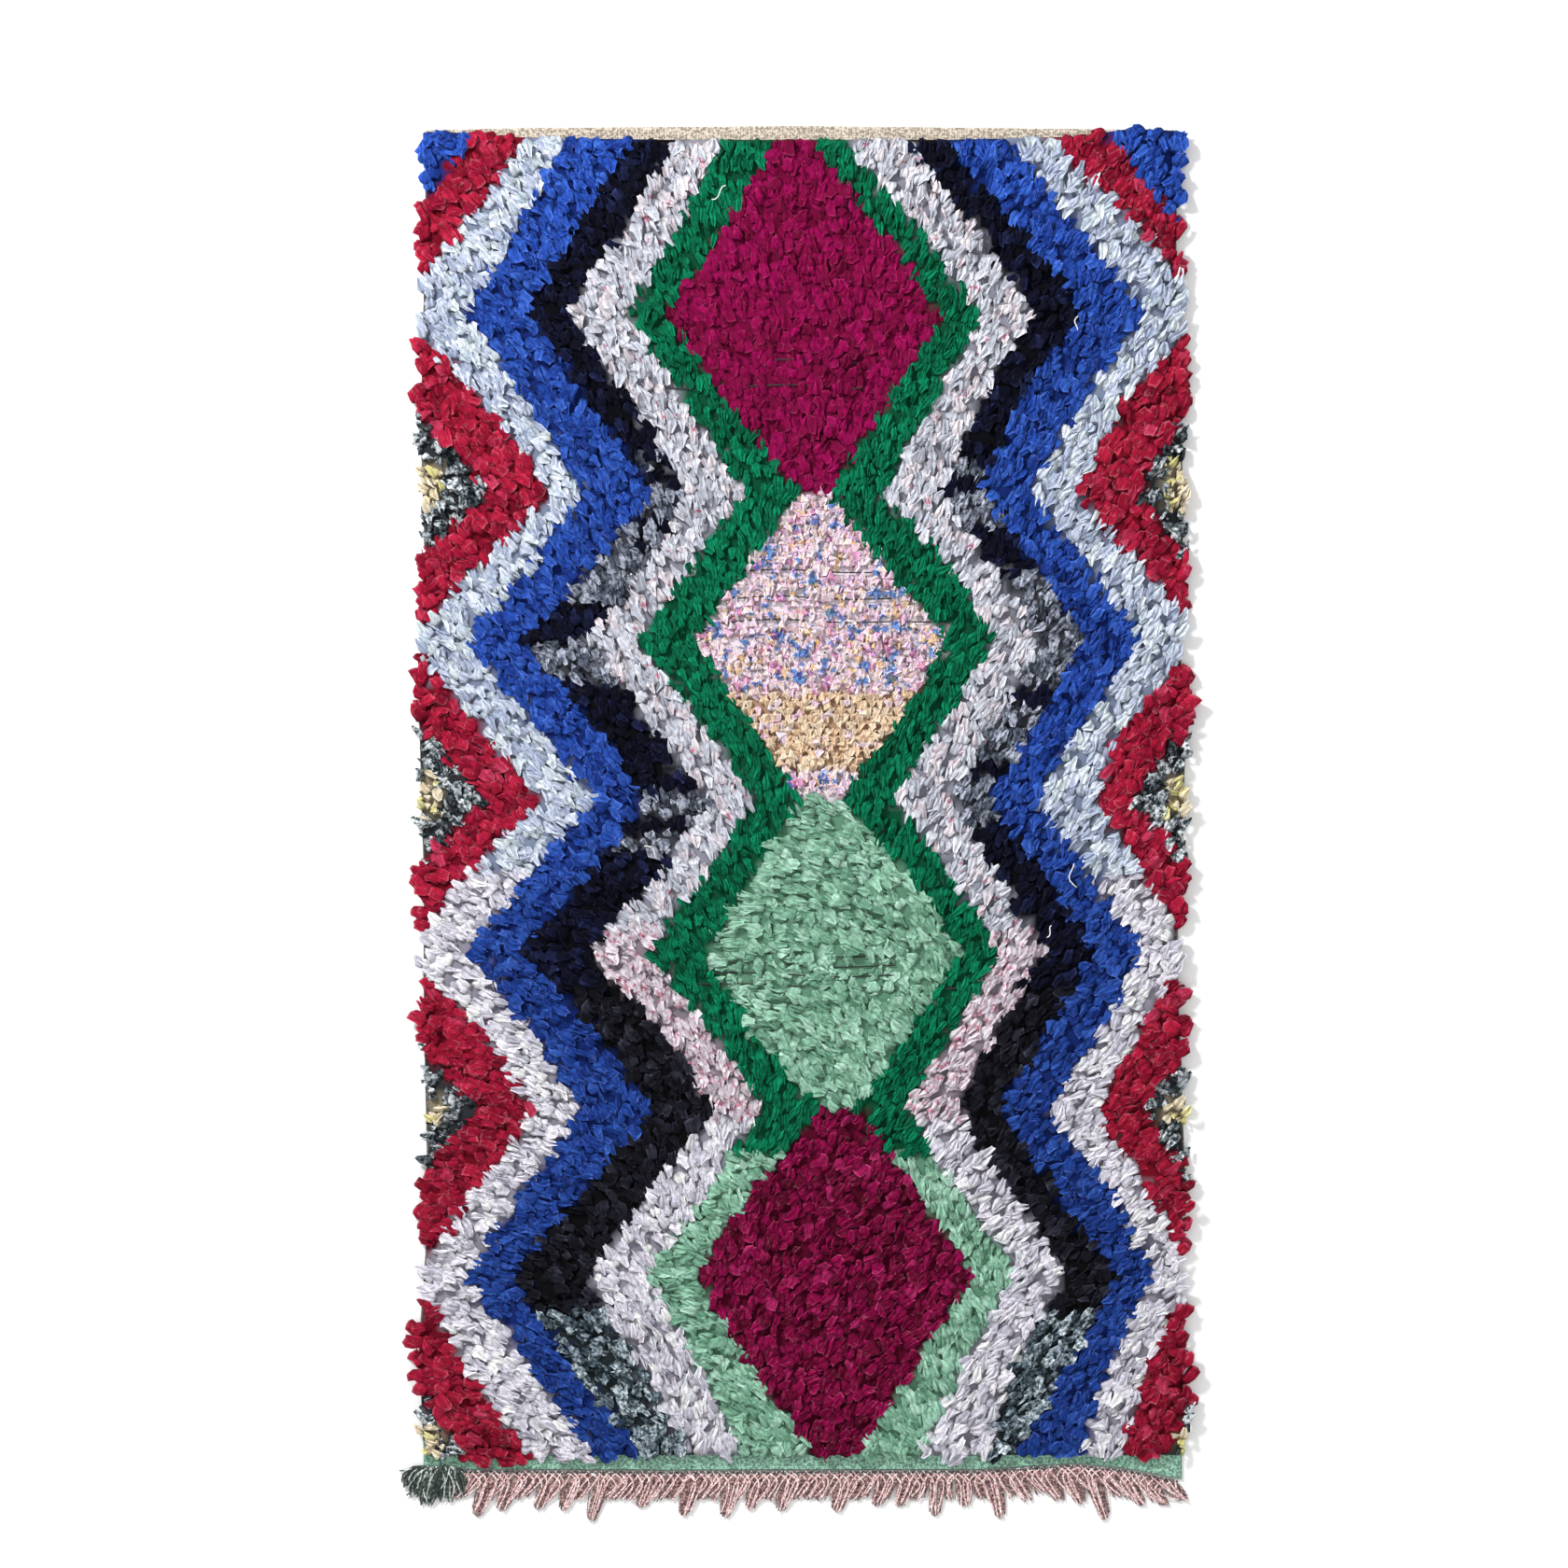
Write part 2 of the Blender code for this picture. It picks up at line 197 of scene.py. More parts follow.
def new_finish(name, roughness, sheen):
    """A cloth finish with its fixed values on the shader's own sockets."""
    finish = bpy.data.materials.new(name)
    finish.use_nodes = True
    shader = finish.node_tree.nodes["Principled BSDF"]
    shader.inputs["Roughness"].default_value = roughness
    shader.inputs["Sheen Weight"].default_value = sheen
    shader.inputs["Sheen Roughness"].default_value = 0.6
    shader.inputs["Specular IOR Level"].default_value = 0.12
    return finish, finish.node_tree, shader


def add_node(tree, kind, sockets=None, **settings):
    """A node with its settings, and with a value or a link on each socket named. Gives its outputs."""
    node = tree.nodes.new("ShaderNode" + kind)
    for setting, value in settings.items():
        setattr(node, setting, value)
    for socket, value in (sockets or {}).items():
        if isinstance(value, bpy.types.NodeSocket):
            tree.links.new(value, node.inputs[socket])
        else:
            node.inputs[socket].default_value = value
    return node.outputs


def worked(tree, operation, *values):
    """The result of one sum on values or links."""
    return add_node(tree, "Math", dict(enumerate(values)), operation=operation)[0]


def faded(tree, value, start, end, low=0.0, high=1.0, curve="LINEAR"):
    """The value's way from start to end, as a share from low to high."""
    sockets = {"Value": value, "From Min": start, "From Max": end, "To Min": low, "To Max": high}
    return add_node(tree, "MapRange", sockets, interpolation_type=curve)["Result"]


def dye_steps(tree, share, dyes, curve="LINEAR"):
    """The dye at each share from 0 to 1, read between the places of a few."""
    ramp = tree.nodes.new("ShaderNodeValToRGB")
    ramp.color_ramp.interpolation = curve
    first, last = ramp.color_ramp.elements[0], ramp.color_ramp.elements[1]
    first.position, last.position = dyes[0][0], dyes[-1][0]
    first.color = (*dyed(*dyes[0][1]), 1)
    last.color = (*dyed(*dyes[-1][1]), 1)
    for position, colour in dyes[1:-1]:
        ramp.color_ramp.elements.new(position).color = (*dyed(*colour), 1)
    tree.links.new(share, ramp.inputs["Fac"])
    return ramp.outputs["Color"]


def add_relief(tree, shader, height, strength, distance):
    """Gives the surface the fine relief of this height."""
    sockets = {"Height": height, "Strength": strength, "Distance": distance}
    tree.links.new(add_node(tree, "Bump", sockets)["Normal"], shader.inputs["Normal"])


cloth = bmesh.new()
bmesh.ops.create_grid(cloth, x_segments=GROUND_COLUMNS, y_segments=ALL_ROWS, size=0.5)
for vert in cloth.verts:
    row = round((vert.co.y + 0.5) * ALL_ROWS)
    across = vert.co.x + 0.5
    rough_x = GROUND_LEFT + GROUND_SPAN * across
    low = cloth_end(rough_x)
    high = along(CLOTH_TOP, rough_x, "x", "y")
    if row <= END_ROWS:
        y = low + END_DEPTH * row / END_ROWS
    elif row >= ALL_ROWS - END_ROWS:
        y = high - END_DEPTH * (ALL_ROWS - row) / END_ROWS
    else:
        y = low + END_DEPTH + (high - low - 2 * END_DEPTH) * (row - END_ROWS) / MIDDLE_ROWS
    left, right = selvedges_at(y)
    rib = RIB_HEIGHT if row % 2 else -RIB_HEIGHT
    wave = WAVE_HEIGHT * noise.noise(Vector((rough_x * WAVES_ACROSS, y * WAVES_ALONG, 2)))
    vert.co = (left + (right - left) * across, y, GROUND_TOP_Z + rib + wave)
ground_mesh = mesh_from(cloth, "ground_cloth")
ground_mesh.shade_smooth()

ground_finish, tree, shader = new_finish("woven_ground", 0.92, 0.15)
spot = add_node(tree, "TexCoord")["Object"]
up_the_rug = add_node(tree, "SeparateXYZ", {0: spot})["Y"]
ends = dye_steps(
    tree, faded(tree, up_the_rug, -1, 1),
    [(0, GREEN_WEAVE), (GREEN_END_SHARE, HIDDEN_WEAVE), (CREAM_END_SHARE, CREAM_WEAVE)], "CONSTANT",
)
flecks = add_node(tree, "TexNoise", {"Vector": spot, "Scale": 270, "Detail": 3})["Fac"]
fleck_tone = faded(tree, flecks, 0.40, 0.60, 0.45, 1.25)
tone = add_node(tree, "VectorMath", {0: ends, "Scale": fleck_tone}, operation="SCALE")["Vector"]
tree.links.new(tone, shader.inputs["Base Color"])
warps = {"Vector": spot, "Scale": 90, "Distortion": 1.2}
wefts = {"Vector": spot, "Scale": 120, "Distortion": 1.0}
warp_lines = add_node(tree, "TexWave", warps, bands_direction="X")["Fac"]
weft_lines = add_node(tree, "TexWave", wefts, bands_direction="Y")["Fac"]
add_relief(tree, shader, worked(tree, "ADD", warp_lines, weft_lines), 0.6, 0.0006)

ground_cloth = add_piece("ground_cloth", ground_mesh, ground_finish, "ground_weave")
thicken(ground_cloth, GROUND_THICK)

# The pattern is knotted from a chart in the weaver's head: lozenges down the middle, and zigzag bands
# that run round them. A row of the chart gives how far out each band's outer edge is, in millimetres, at
# each turn of the zigzags and halfway between, read off the photo to the nearest 5 mm.
MM = 0.001
LOZENGE, BORDER, LILAC, NAVY, BLUE, SKY, RED, EDGE = range(8)
Turn = namedtuple("Turn", "y left right")
TURNS = [
    Turn(980, (-30, -105, -170, -230, -330, -385, -465), (5, 50, 135, 190, 285, 345, 425)),
    Turn(850, (-105, -175, -250, -320, -405, -480, -560), (105, 160, 240, 305, 385, 475, 535)),
    Turn(725, (-195, -250, -330, -390, -480, -580, -650), (200, 255, 325, 400, 485, 575, 635)),
    Turn(600, (-105, -170, -240, -305, -395, -450, -555), (120, 185, 250, 305, 395, 455, 550)),
    Turn(470, (-5, -85, -160, -210, -310, -360, -445), (35, 115, 195, 250, 320, 390, 475)),
    Turn(365, (-80, -160, -220, -300, -385, -460, -555), (120, 210, 270, 340, 405, 485, 550)),
    Turn(260, (-150, -235, -310, -400, -480, -565, -650), (205, 275, 340, 395, 480, 570, 635)),
    Turn(150, (-80, -150, -220, -300, -390, -465, -555), (140, 205, 275, 340, 405, 460, 555)),
    Turn(35, (0, -70, -130, -225, -295, -375, -450), (50, 130, 210, 260, 330, 415, 465)),
    Turn(-70, (-70, -135, -200, -305, -390, -475, -555), (150, 210, 275, 345, 405, 480, 555)),
    Turn(-180, (-140, -225, -305, -400, -475, -565, -650), (225, 280, 340, 415, 485, 555, 635)),
    Turn(-295, (-70, -130, -200, -295, -385, -450, -555), (150, 215, 275, 345, 420, 475, 565)),
    Turn(-405, (25, -55, -120, -210, -315, -385, -460), (75, 145, 215, 280, 350, 420, 480)),
    Turn(-525, (-75, -140, -220, -315, -400, -470, -555), (170, 225, 300, 365, 440, 495, 565)),
    Turn(-640, (-150, -220, -305, -415, -475, -555, -650), (240, 300, 370, 445, 495, 550, 635)),
    Turn(-770, (-75, -145, -230, -330, -390, -475, -565), (160, 225, 300, 375, 435, 490, 575)),
    Turn(-895, (20, -85, -155, -225, -295, -390, -480), (75, 165, 260, 300, 395, 450, 515)),
]
MIDDLE_X = 0.026
MIDDLE_DRIFT = 0.017
TOP_Y = 1
BOTTOM_Y = -1
ClothRun = namedtuple("ClothRun", "cloth bottom")
CLOTH_RUNS = {
    LOZENGE: [
        ClothRun("magenta", 0.472), ClothRun("floral", 0.189), ClothRun("peach", 0.075),
        ClothRun("floral", 0.037), ClothRun("mint", -0.400), ClothRun("wine", BOTTOM_Y),
    ],
    BORDER: [ClothRun("green", -0.466), ClothRun("mint", BOTTOM_Y)],
    LILAC: [ClothRun("lilac", -0.150), ClothRun("pinkish", -0.420), ClothRun("white", BOTTOM_Y)],
    NAVY: [ClothRun("navy", -0.235), ClothRun("black", -0.690), ClothRun("moss", BOTTOM_Y)],
    BLUE: [ClothRun("blue", BOTTOM_Y)],
    SKY: [ClothRun("sky", -0.070), ClothRun("white", BOTTOM_Y)],
    RED: [ClothRun("red", BOTTOM_Y)],
    EDGE: [ClothRun("blue", 0.70), ClothRun("grey", BOTTOM_Y)],
}


def band_at(x, y):
    """The band of the chart at each place, from the lozenges outwards."""
    turns = TURNS[::-1]
    heights = [turn.y * MM for turn in turns]
    middle = MIDDLE_X - MIDDLE_DRIFT * y
    band = np.zeros(len(x), int)
    for index in range(EDGE):
        left = np.interp(y, heights, [turn.left[index] * MM for turn in turns])
        right = np.interp(y, heights, [turn.right[index] * MM for turn in turns])
        band += np.where(x < middle, x < left, x > right)
    return band


def cloth_at(x, y):
    """The name of the rag cloth at each place: the bands, with the changes of cloth along them."""
    bands = band_at(x, y)
    names = np.full(len(x), "", dtype="<U12")
    for band, runs in CLOTH_RUNS.items():
        top = TOP_Y
        for run in runs:
            names[(bands == band) & (y < top) & (y >= run.bottom)] = run.cloth
            top = run.bottom
    names[(names == "navy") & mixed_at(x, y)] = "pepper"
    left, right = selvedges_at(y)
    near_edge = np.minimum(x - left, right - x) < CREAM_WIDTH
    for run in CREAM_RUNS:
        names[(names == "grey") & near_edge & (np.abs(y - run.y) < run.half_height)] = "cream"
    return names


# In the dark band, runs of salt-and-pepper cloth come between the dark ones, on the left (-1) and on the
# right (1), with a few single knots of the other cloth in each. At the sides, cream comes within the grey.
MixedRun = namedtuple("MixedRun", "side top bottom")
MIXED_RUNS = [
    MixedRun(-1, 0.477, 0.317), MixedRun(-1, 0.256, 0.204), MixedRun(-1, 0.044, 0.007),
    MixedRun(-1, -0.017, -0.040), MixedRun(1, 0.511, 0.492), MixedRun(1, 0.472, 0.420),
    MixedRun(1, 0.355, 0.195), MixedRun(1, 0.171, 0.089), MixedRun(1, 0.070, 0.002),
]
OddKnots = namedtuple("OddKnots", "x y half_width half_height mixed")
ODD_KNOTS = [
    OddKnots(-0.237, 0.430, 0.012, 0.009, False),
    OddKnots(-0.192, 0.428, 0.020, 0.010, False),
    OddKnots(-0.225, 0.396, 0.011, 0.010, False),
    OddKnots(-0.220, 0.510, 0.015, 0.011, True),
    OddKnots(-0.171, 0.085, 0.013, 0.015, True),
]
CreamRun = namedtuple("CreamRun", "y half_height")
CREAM_RUNS = [
    CreamRun(0.485, 0.036), CreamRun(0.040, 0.030), CreamRun(-0.405, 0.014), CreamRun(-0.872, 0.020),
]
CREAM_WIDTH = 0.026


def mixed_at(x, y):
    """Where the dark band is knotted in salt-and-pepper cloth."""
    mixed = np.zeros(len(x), bool)
    for run in MIXED_RUNS:
        mixed |= (np.sign(x) == run.side) & (y < run.top) & (y > run.bottom)
    for odd in ODD_KNOTS:
        inside = (np.abs(x - odd.x) < odd.half_width) & (np.abs(y - odd.y) < odd.half_height)
        mixed[inside] = odd.mixed
    return mixed


# The pile is brushed one way: down the rug, and in towards the middle from both sides. A row gives the
# way the rags lie, in degrees from +X, at the left, in the middle and at the right. Each knot has two
# ends, so some rags lie the opposite way along the same line.
Lay = namedtuple("Lay", "y left middle right")
LAYS = [
    Lay(0.97, -50, -90, -125), Lay(0.60, -54, -92, -122), Lay(0.25, -50, -95, -122),
    Lay(-0.05, -38, -88, -130), Lay(-0.30, -28, -105, -140), Lay(-0.55, -22, -135, -142),
    Lay(-0.90, -28, -128, -125),
]
LAY_X = (-0.36, 0.03, 0.40)
LAY_PLAY = 16
LAY_FORWARD = 0.60
PILE_TOP = [
    Place(-0.55, 0.983), Place(-0.46, 0.980), Place(-0.42, 0.975), Place(-0.20, 0.971),
    Place(0.22, 0.971), Place(0.40, 0.976), Place(0.47, 0.987), Place(0.55, 0.983),
]
PILE_TOP_Y = 0.972
PILE_BOTTOM_Y = -0.895
PILE_END_REACH = 0.006
PILE_SIDE_REACH = 0.019
PILE_WIDTH = 1.08
KNOT_INSET = 0.002
COLUMN_PLAY = 0.3
TIP_REACHES = 1.9
RIM_WIDTH = 0.012
RIM_OUTWARD = 0.65
ROOT_Z = 0.0035
LOWEST_Z = 0.0004
CREST_GIVE = 0.4
PILE_HEIGHT = 0.0155
PILE_CREST_Z = 0.0180
LUMP_HEIGHT = 0.0042
LUMP_SPACING = 0.045
FINE_LUMP_SHARE = 0.5
FINE_LUMPS = 2.1
Parting = namedtuple("Parting", "y left right")
PARTINGS = [
    Parting(0.658, -0.05, 0.09), Parting(0.622, -0.20, 0.10), Parting(0.360, -0.10, 0.10),
    Parting(0.322, -0.10, 0.14), Parting(0.289, -0.14, 0.20), Parting(-0.186, -0.08, 0.15),
    Parting(-0.200, -0.12, 0.17), Parting(-0.214, -0.14, 0.19), Parting(-0.230, -0.16, 0.22),
]
PARTING_WANDER = 0.010
WANDERS_PER_METRE = 7
OPENINGS_PER_METRE = 24
USUAL_OPENING = 0.75
PARTING_GAP = 0.0016
PARTING_LEAN = 0.009
PARTING_SINK = 0.0066
PARTING_WIDTH = 0.007
PARTING_SQUEEZE = 0.42
LEAST_REACH = 0.4
Knots = namedtuple("Knots", "cloth x y lay rise reach_share draw")


def lay_at(x, y):
    """The way the rags lie at each place, in degrees from +X."""
    columns = [along(LAYS, y, "y", side) for side in ("left", "middle", "right")]
    share = np.clip((x - LAY_X[0]) / (LAY_X[1] - LAY_X[0]), 0, 1)
    other = np.clip((x - LAY_X[1]) / (LAY_X[2] - LAY_X[1]), 0, 1)
    return columns[0] * (1 - share) + columns[1] * share + (columns[2] - columns[1]) * other


def parting_line(parting, x):
    """Where one parting runs at each x, and how open it is there."""
    wander = np.array([noise.noise(Vector((at * WANDERS_PER_METRE, parting.y, 1))) for at in x])
    play = np.array([noise.noise(Vector((at * OPENINGS_PER_METRE, parting.y, 7))) for at in x])
    within = (x > parting.left) & (x < parting.right)
    return parting.y + PARTING_WANDER * wander, np.where(within, np.clip(USUAL_OPENING + play, 0, 1), 0)


def pile_rise(x, y):
    """How high the pile stands at each place, against its usual height: lumps, and partings at old folds."""
    rises = np.zeros(len(x))
    for index, (px, py) in enumerate(zip(x, y)):
        fine = noise.noise(Vector((px, py, 3)) / LUMP_SPACING * FINE_LUMPS)
        lumps = noise.noise(Vector((px, py, 0)) / LUMP_SPACING) + FINE_LUMP_SHARE * fine
        rises[index] = LUMP_HEIGHT * lumps / PILE_HEIGHT
    for parting in PARTINGS:
        line, opened = parting_line(parting, x)
        rises -= PARTING_SINK / PILE_HEIGHT * opened * np.exp(-(((y - line) / PARTING_WIDTH) ** 2))
    return rises


def knots_of(cloth_name, across, up, seed, reach=0.014, row_play=0.28, lay_turn=0):
    """Where the rags of one cloth are tied, in rows a little uneven, each with its lay and height."""
    draw = np.random.RandomState(seed)
    rows = int((PILE_TOP_Y - PILE_BOTTOM_Y) / up)
    columns = int(PILE_WIDTH / across)
    row, column = np.meshgrid(np.arange(rows + 1), np.arange(columns + 1), indexing="ij")
    row, column = row.ravel(), column.ravel()
    count = len(row)
    top = along(PILE_TOP, -PILE_WIDTH / 2 + PILE_WIDTH * column / columns, "x", "y")
    y = PILE_BOTTOM_Y + (top - PILE_BOTTOM_Y) * row / rows + draw.uniform(-row_play, row_play, count) * up
    left, right = selvedges_at(y, KNOT_INSET)
    x = left + (right - left) * np.clip((column + 0.5 * (row % 2)) / columns, 0, 1)
    x = np.clip(x + draw.uniform(-COLUMN_PLAY, COLUMN_PLAY, count) * across, left, right)
    lay = np.radians(lay_at(x, y) + lay_turn + draw.normal(0, LAY_PLAY, count))
    lay = np.where(draw.uniform(0, 1, count) < LAY_FORWARD, lay, lay + math.pi)
    outward = np.where(x - left < right - x, -1, 1) * np.cos(lay) > 0
    at_rim = (np.minimum(x - left, right - x) < RIM_WIDTH) & (draw.uniform(0, 1, count) < RIM_OUTWARD)
    lay = np.where(at_rim & ~outward, lay + math.pi, lay)
    tip_x, tip_y = x + TIP_REACHES * reach * np.cos(lay), y + TIP_REACHES * reach * np.sin(lay)
    past_side = (tip_x < left - PILE_SIDE_REACH) | (tip_x > right + PILE_SIDE_REACH)
    lay = np.where(past_side, math.pi - lay, lay)
    on_line = np.zeros(count, bool)
    reach_share = np.ones(count)
    for parting in PARTINGS:
        line, opened = parting_line(parting, x)
        away = y - line
        reach_share -= PARTING_SQUEEZE * opened * np.exp(-((away / PARTING_LEAN) ** 2))
        on_line |= np.abs(away) < PARTING_GAP * opened
        leaning = np.arctan2(np.sign(away) * np.abs(np.sin(lay)), np.cos(lay))
        lay = np.where(np.abs(away) < PARTING_LEAN * opened, leaning, lay)
    past_end = (tip_y > top + PILE_END_REACH) | (tip_y < PILE_BOTTOM_Y - 2 * PILE_END_REACH)
    lay = np.where(past_end, -lay, lay)
    seen_x, seen_y = x + reach * np.cos(lay), y + reach * np.sin(lay)
    keep = (cloth_at(seen_x, seen_y) == cloth_name) & ~on_line
    x, y, lay, reach_share = x[keep], y[keep], lay[keep], np.maximum(reach_share[keep], LEAST_REACH)
    return Knots(cloth_name, x, y, lay, pile_rise(x, y), reach_share, draw)


# A rag is a strip torn from a garment, a thumb long. It is knotted round the warps at its root, rises
# from there and lies over its neighbours, pleated, creased and a little twisted.
RagShape = namedtuple(
    "RagShape", "length width thick cuts folds rise pleat crease cup ragged point round twist bend"
)
PLATE = RagShape(0.025, 0.017, 0.0011, 3, 3, 0.014, 0.0008, 0.005, 0.0012, 0.0018, 0.03, 0.2, 0.4, 0.002)
LEAF = RagShape(0.024, 0.02, 0.0013, 3, 4, 0.015, 0.001, 0.004, 0.0022, 0.0014, 0.06, 0.65, 0.5, 0.003)
CRUMPLED = RagShape(
    0.0235, 0.0145, 0.0012, 3, 4, 0.0145, 0.0013, 0.0045, 0.0012, 0.0017, 0.08, 0.4, 0.55, 0.004
)
PETAL = RagShape(0.0275, 0.016, 0.0011, 3, 4, 0.0145, 0.0015, 0.0028, 0.001, 0.0011, 0.08, 0.85, 0.55, 0.004)
STRANDED = RagShape(0.0245, 0.012, 0.001, 3, 4, 0.014, 0.0013, 0.0018, 0.0006, 0.0009, 0.16, 0.6, 0.5, 0.003)
KNOBBLE = RagShape(0.0155, 0.0115, 0.0016, 2, 3, 0.014, 0.001, 0.0022, 0.0016, 0.0016, 0.08, 0.9, 0.5, 0.002)
ROOT_CROWDING = 1.5
ROOT_WIDTH = 0.45
OPENING_OUT = 2.6
TWIST_MIDDLE = 0.35
RISE_REACH = 0.13
DROOP = (0.10, 0.50)
CREASES = 2
CREASE_LEAN = 1.2
CREASE_PLACE = (0.2, 0.7)
CREASE_MEAN = 0.1
HEM_NOTCH = 0.4
RAG_VARIANTS = 10
Template = namedtuple("Template", "points corners sizes far side crest")
Dye = namedtuple("Dye", "dark light share")
ToneAt = namedtuple("ToneAt", "y tone")
LENGTH_PLAY = (0.82, 1.20)
WIDTH_PLAY = (0.70, 1.25)
KNOT_GRIP = 2.5
PITCH_PLAY = 0.10
SINK_PLAY = (-0.0016, 0.0014)
MUCH_ROLLED = 0.7
ROLLED_WIDTH = 0.75
SHARP_FOLD = math.radians(24)


def torn_rag(shape, seed):
    """One rag, its root at the origin and its tip along +X, as a thin closed strip."""
    draw = random.Random(seed)
    rag = bmesh.new()
    bmesh.ops.create_grid(rag, x_segments=shape.cuts, y_segments=shape.folds, size=0.5)
    far_layer = rag.verts.layers.float.new("far")
    side_layer = rag.verts.layers.float.new("side")
    crest_layer = rag.verts.layers.float.new("crest")
    side_bend = draw.uniform(-1, 1) * shape.bend
    twist = draw.uniform(-1, 1) * shape.twist
    droop = draw.uniform(*DROOP)
    creases = [
        (draw.uniform(-1, 1), draw.uniform(-CREASE_LEAN, CREASE_LEAN), draw.uniform(*CREASE_PLACE))
        for _ in range(CREASES)
    ]
    for vert in rag.verts:
        far = (vert.co.x + 0.5) ** ROOT_CROWDING
        side = vert.co.y * 2
        column = round((vert.co.y + 0.5) * shape.folds)
        ridge = 1 if column % 2 else -1
        crease = sum((-1) ** index * abs(far * a + side * b - c) for index, (a, b, c) in enumerate(creases))
        vert[far_layer] = far
        vert[side_layer] = side
        vert[crest_layer] = 0.5 + 0.5 * ridge
        open_out = min(1, far * OPENING_OUT)
        width = shape.width * (ROOT_WIDTH + (1 - ROOT_WIDTH) * open_out)
        half = width / 2 * (1 - shape.round * max(0, far - 0.5))
        turn = twist * (far - TWIST_MIDDLE)
        out = side * half + draw.uniform(-1, 1) * shape.ragged
        height = shape.pleat * ridge + shape.crease * (crease - CREASE_MEAN) - shape.cup * side * side
        height *= open_out
        lift = shape.rise * (1 - math.exp(-far / RISE_REACH)) * (1 - droop * far) - shape.cup * far**4
        notch = shape.point * (0.5 - 0.5 * ridge) + shape.round * HEM_NOTCH * side * side * far
        length = shape.length * far * (1 - notch)
        vert.co = (
            length + draw.uniform(-1, 1) * shape.ragged * far,
            out * math.cos(turn) - height * math.sin(turn) + side_bend * math.sin(math.pi * far),
            lift + out * math.sin(turn) + height * math.cos(turn),
        )
    rim = [vert for vert in rag.verts if vert.is_boundary]
    under = bmesh.ops.duplicate(rag, geom=rag.verts[:] + rag.edges[:] + rag.faces[:])["geom"]
    for vert in [item for item in under if isinstance(item, bmesh.types.BMVert)]:
        if vert.is_boundary:
            rim.append(vert)
        else:
            vert.co.z -= shape.thick
    bmesh.ops.remove_doubles(rag, verts=rim, dist=0.000001)
    bmesh.ops.recalc_face_normals(rag, faces=rag.faces)
    rag.verts.index_update()
    points = np.array([vert.co for vert in rag.verts])
    corners = np.array([vert.index for face in rag.faces for vert in face.verts])
    sizes = np.array([len(face.verts) for face in rag.faces])
    layers = [np.array([vert[layer] for vert in rag.verts]) for layer in (far_layer, side_layer, crest_layer)]
    rag.free()
    return Template(points, corners, sizes, *layers)


def rag_set(shape, seed):
    """Several rags of one shape."""
    return [torn_rag(shape, seed + index) for index in range(RAG_VARIANTS)]


plates = rag_set(PLATE, 100)
crumpled = rag_set(CRUMPLED, 200)
leaves = rag_set(LEAF, 600)
petals = rag_set(PETAL, 300)
knobbles = rag_set(KNOBBLE, 400)
stranded = rag_set(STRANDED, 500)


def write_dye_and_lie(mesh, dyes, lies):
    """Each point's dye with its place on a pleat, and its lie: how far out, how far aside, which rag."""
    dye_layer = mesh.attributes.new("dye", "FLOAT_COLOR", "POINT")
    dye_layer.data.foreach_set("color", dyes.astype(np.float32).ravel())
    lie_layer = mesh.attributes.new("lie", "FLOAT_VECTOR", "POINT")
    lie_layer.data.foreach_set("vector", lies.astype(np.float32).ravel())


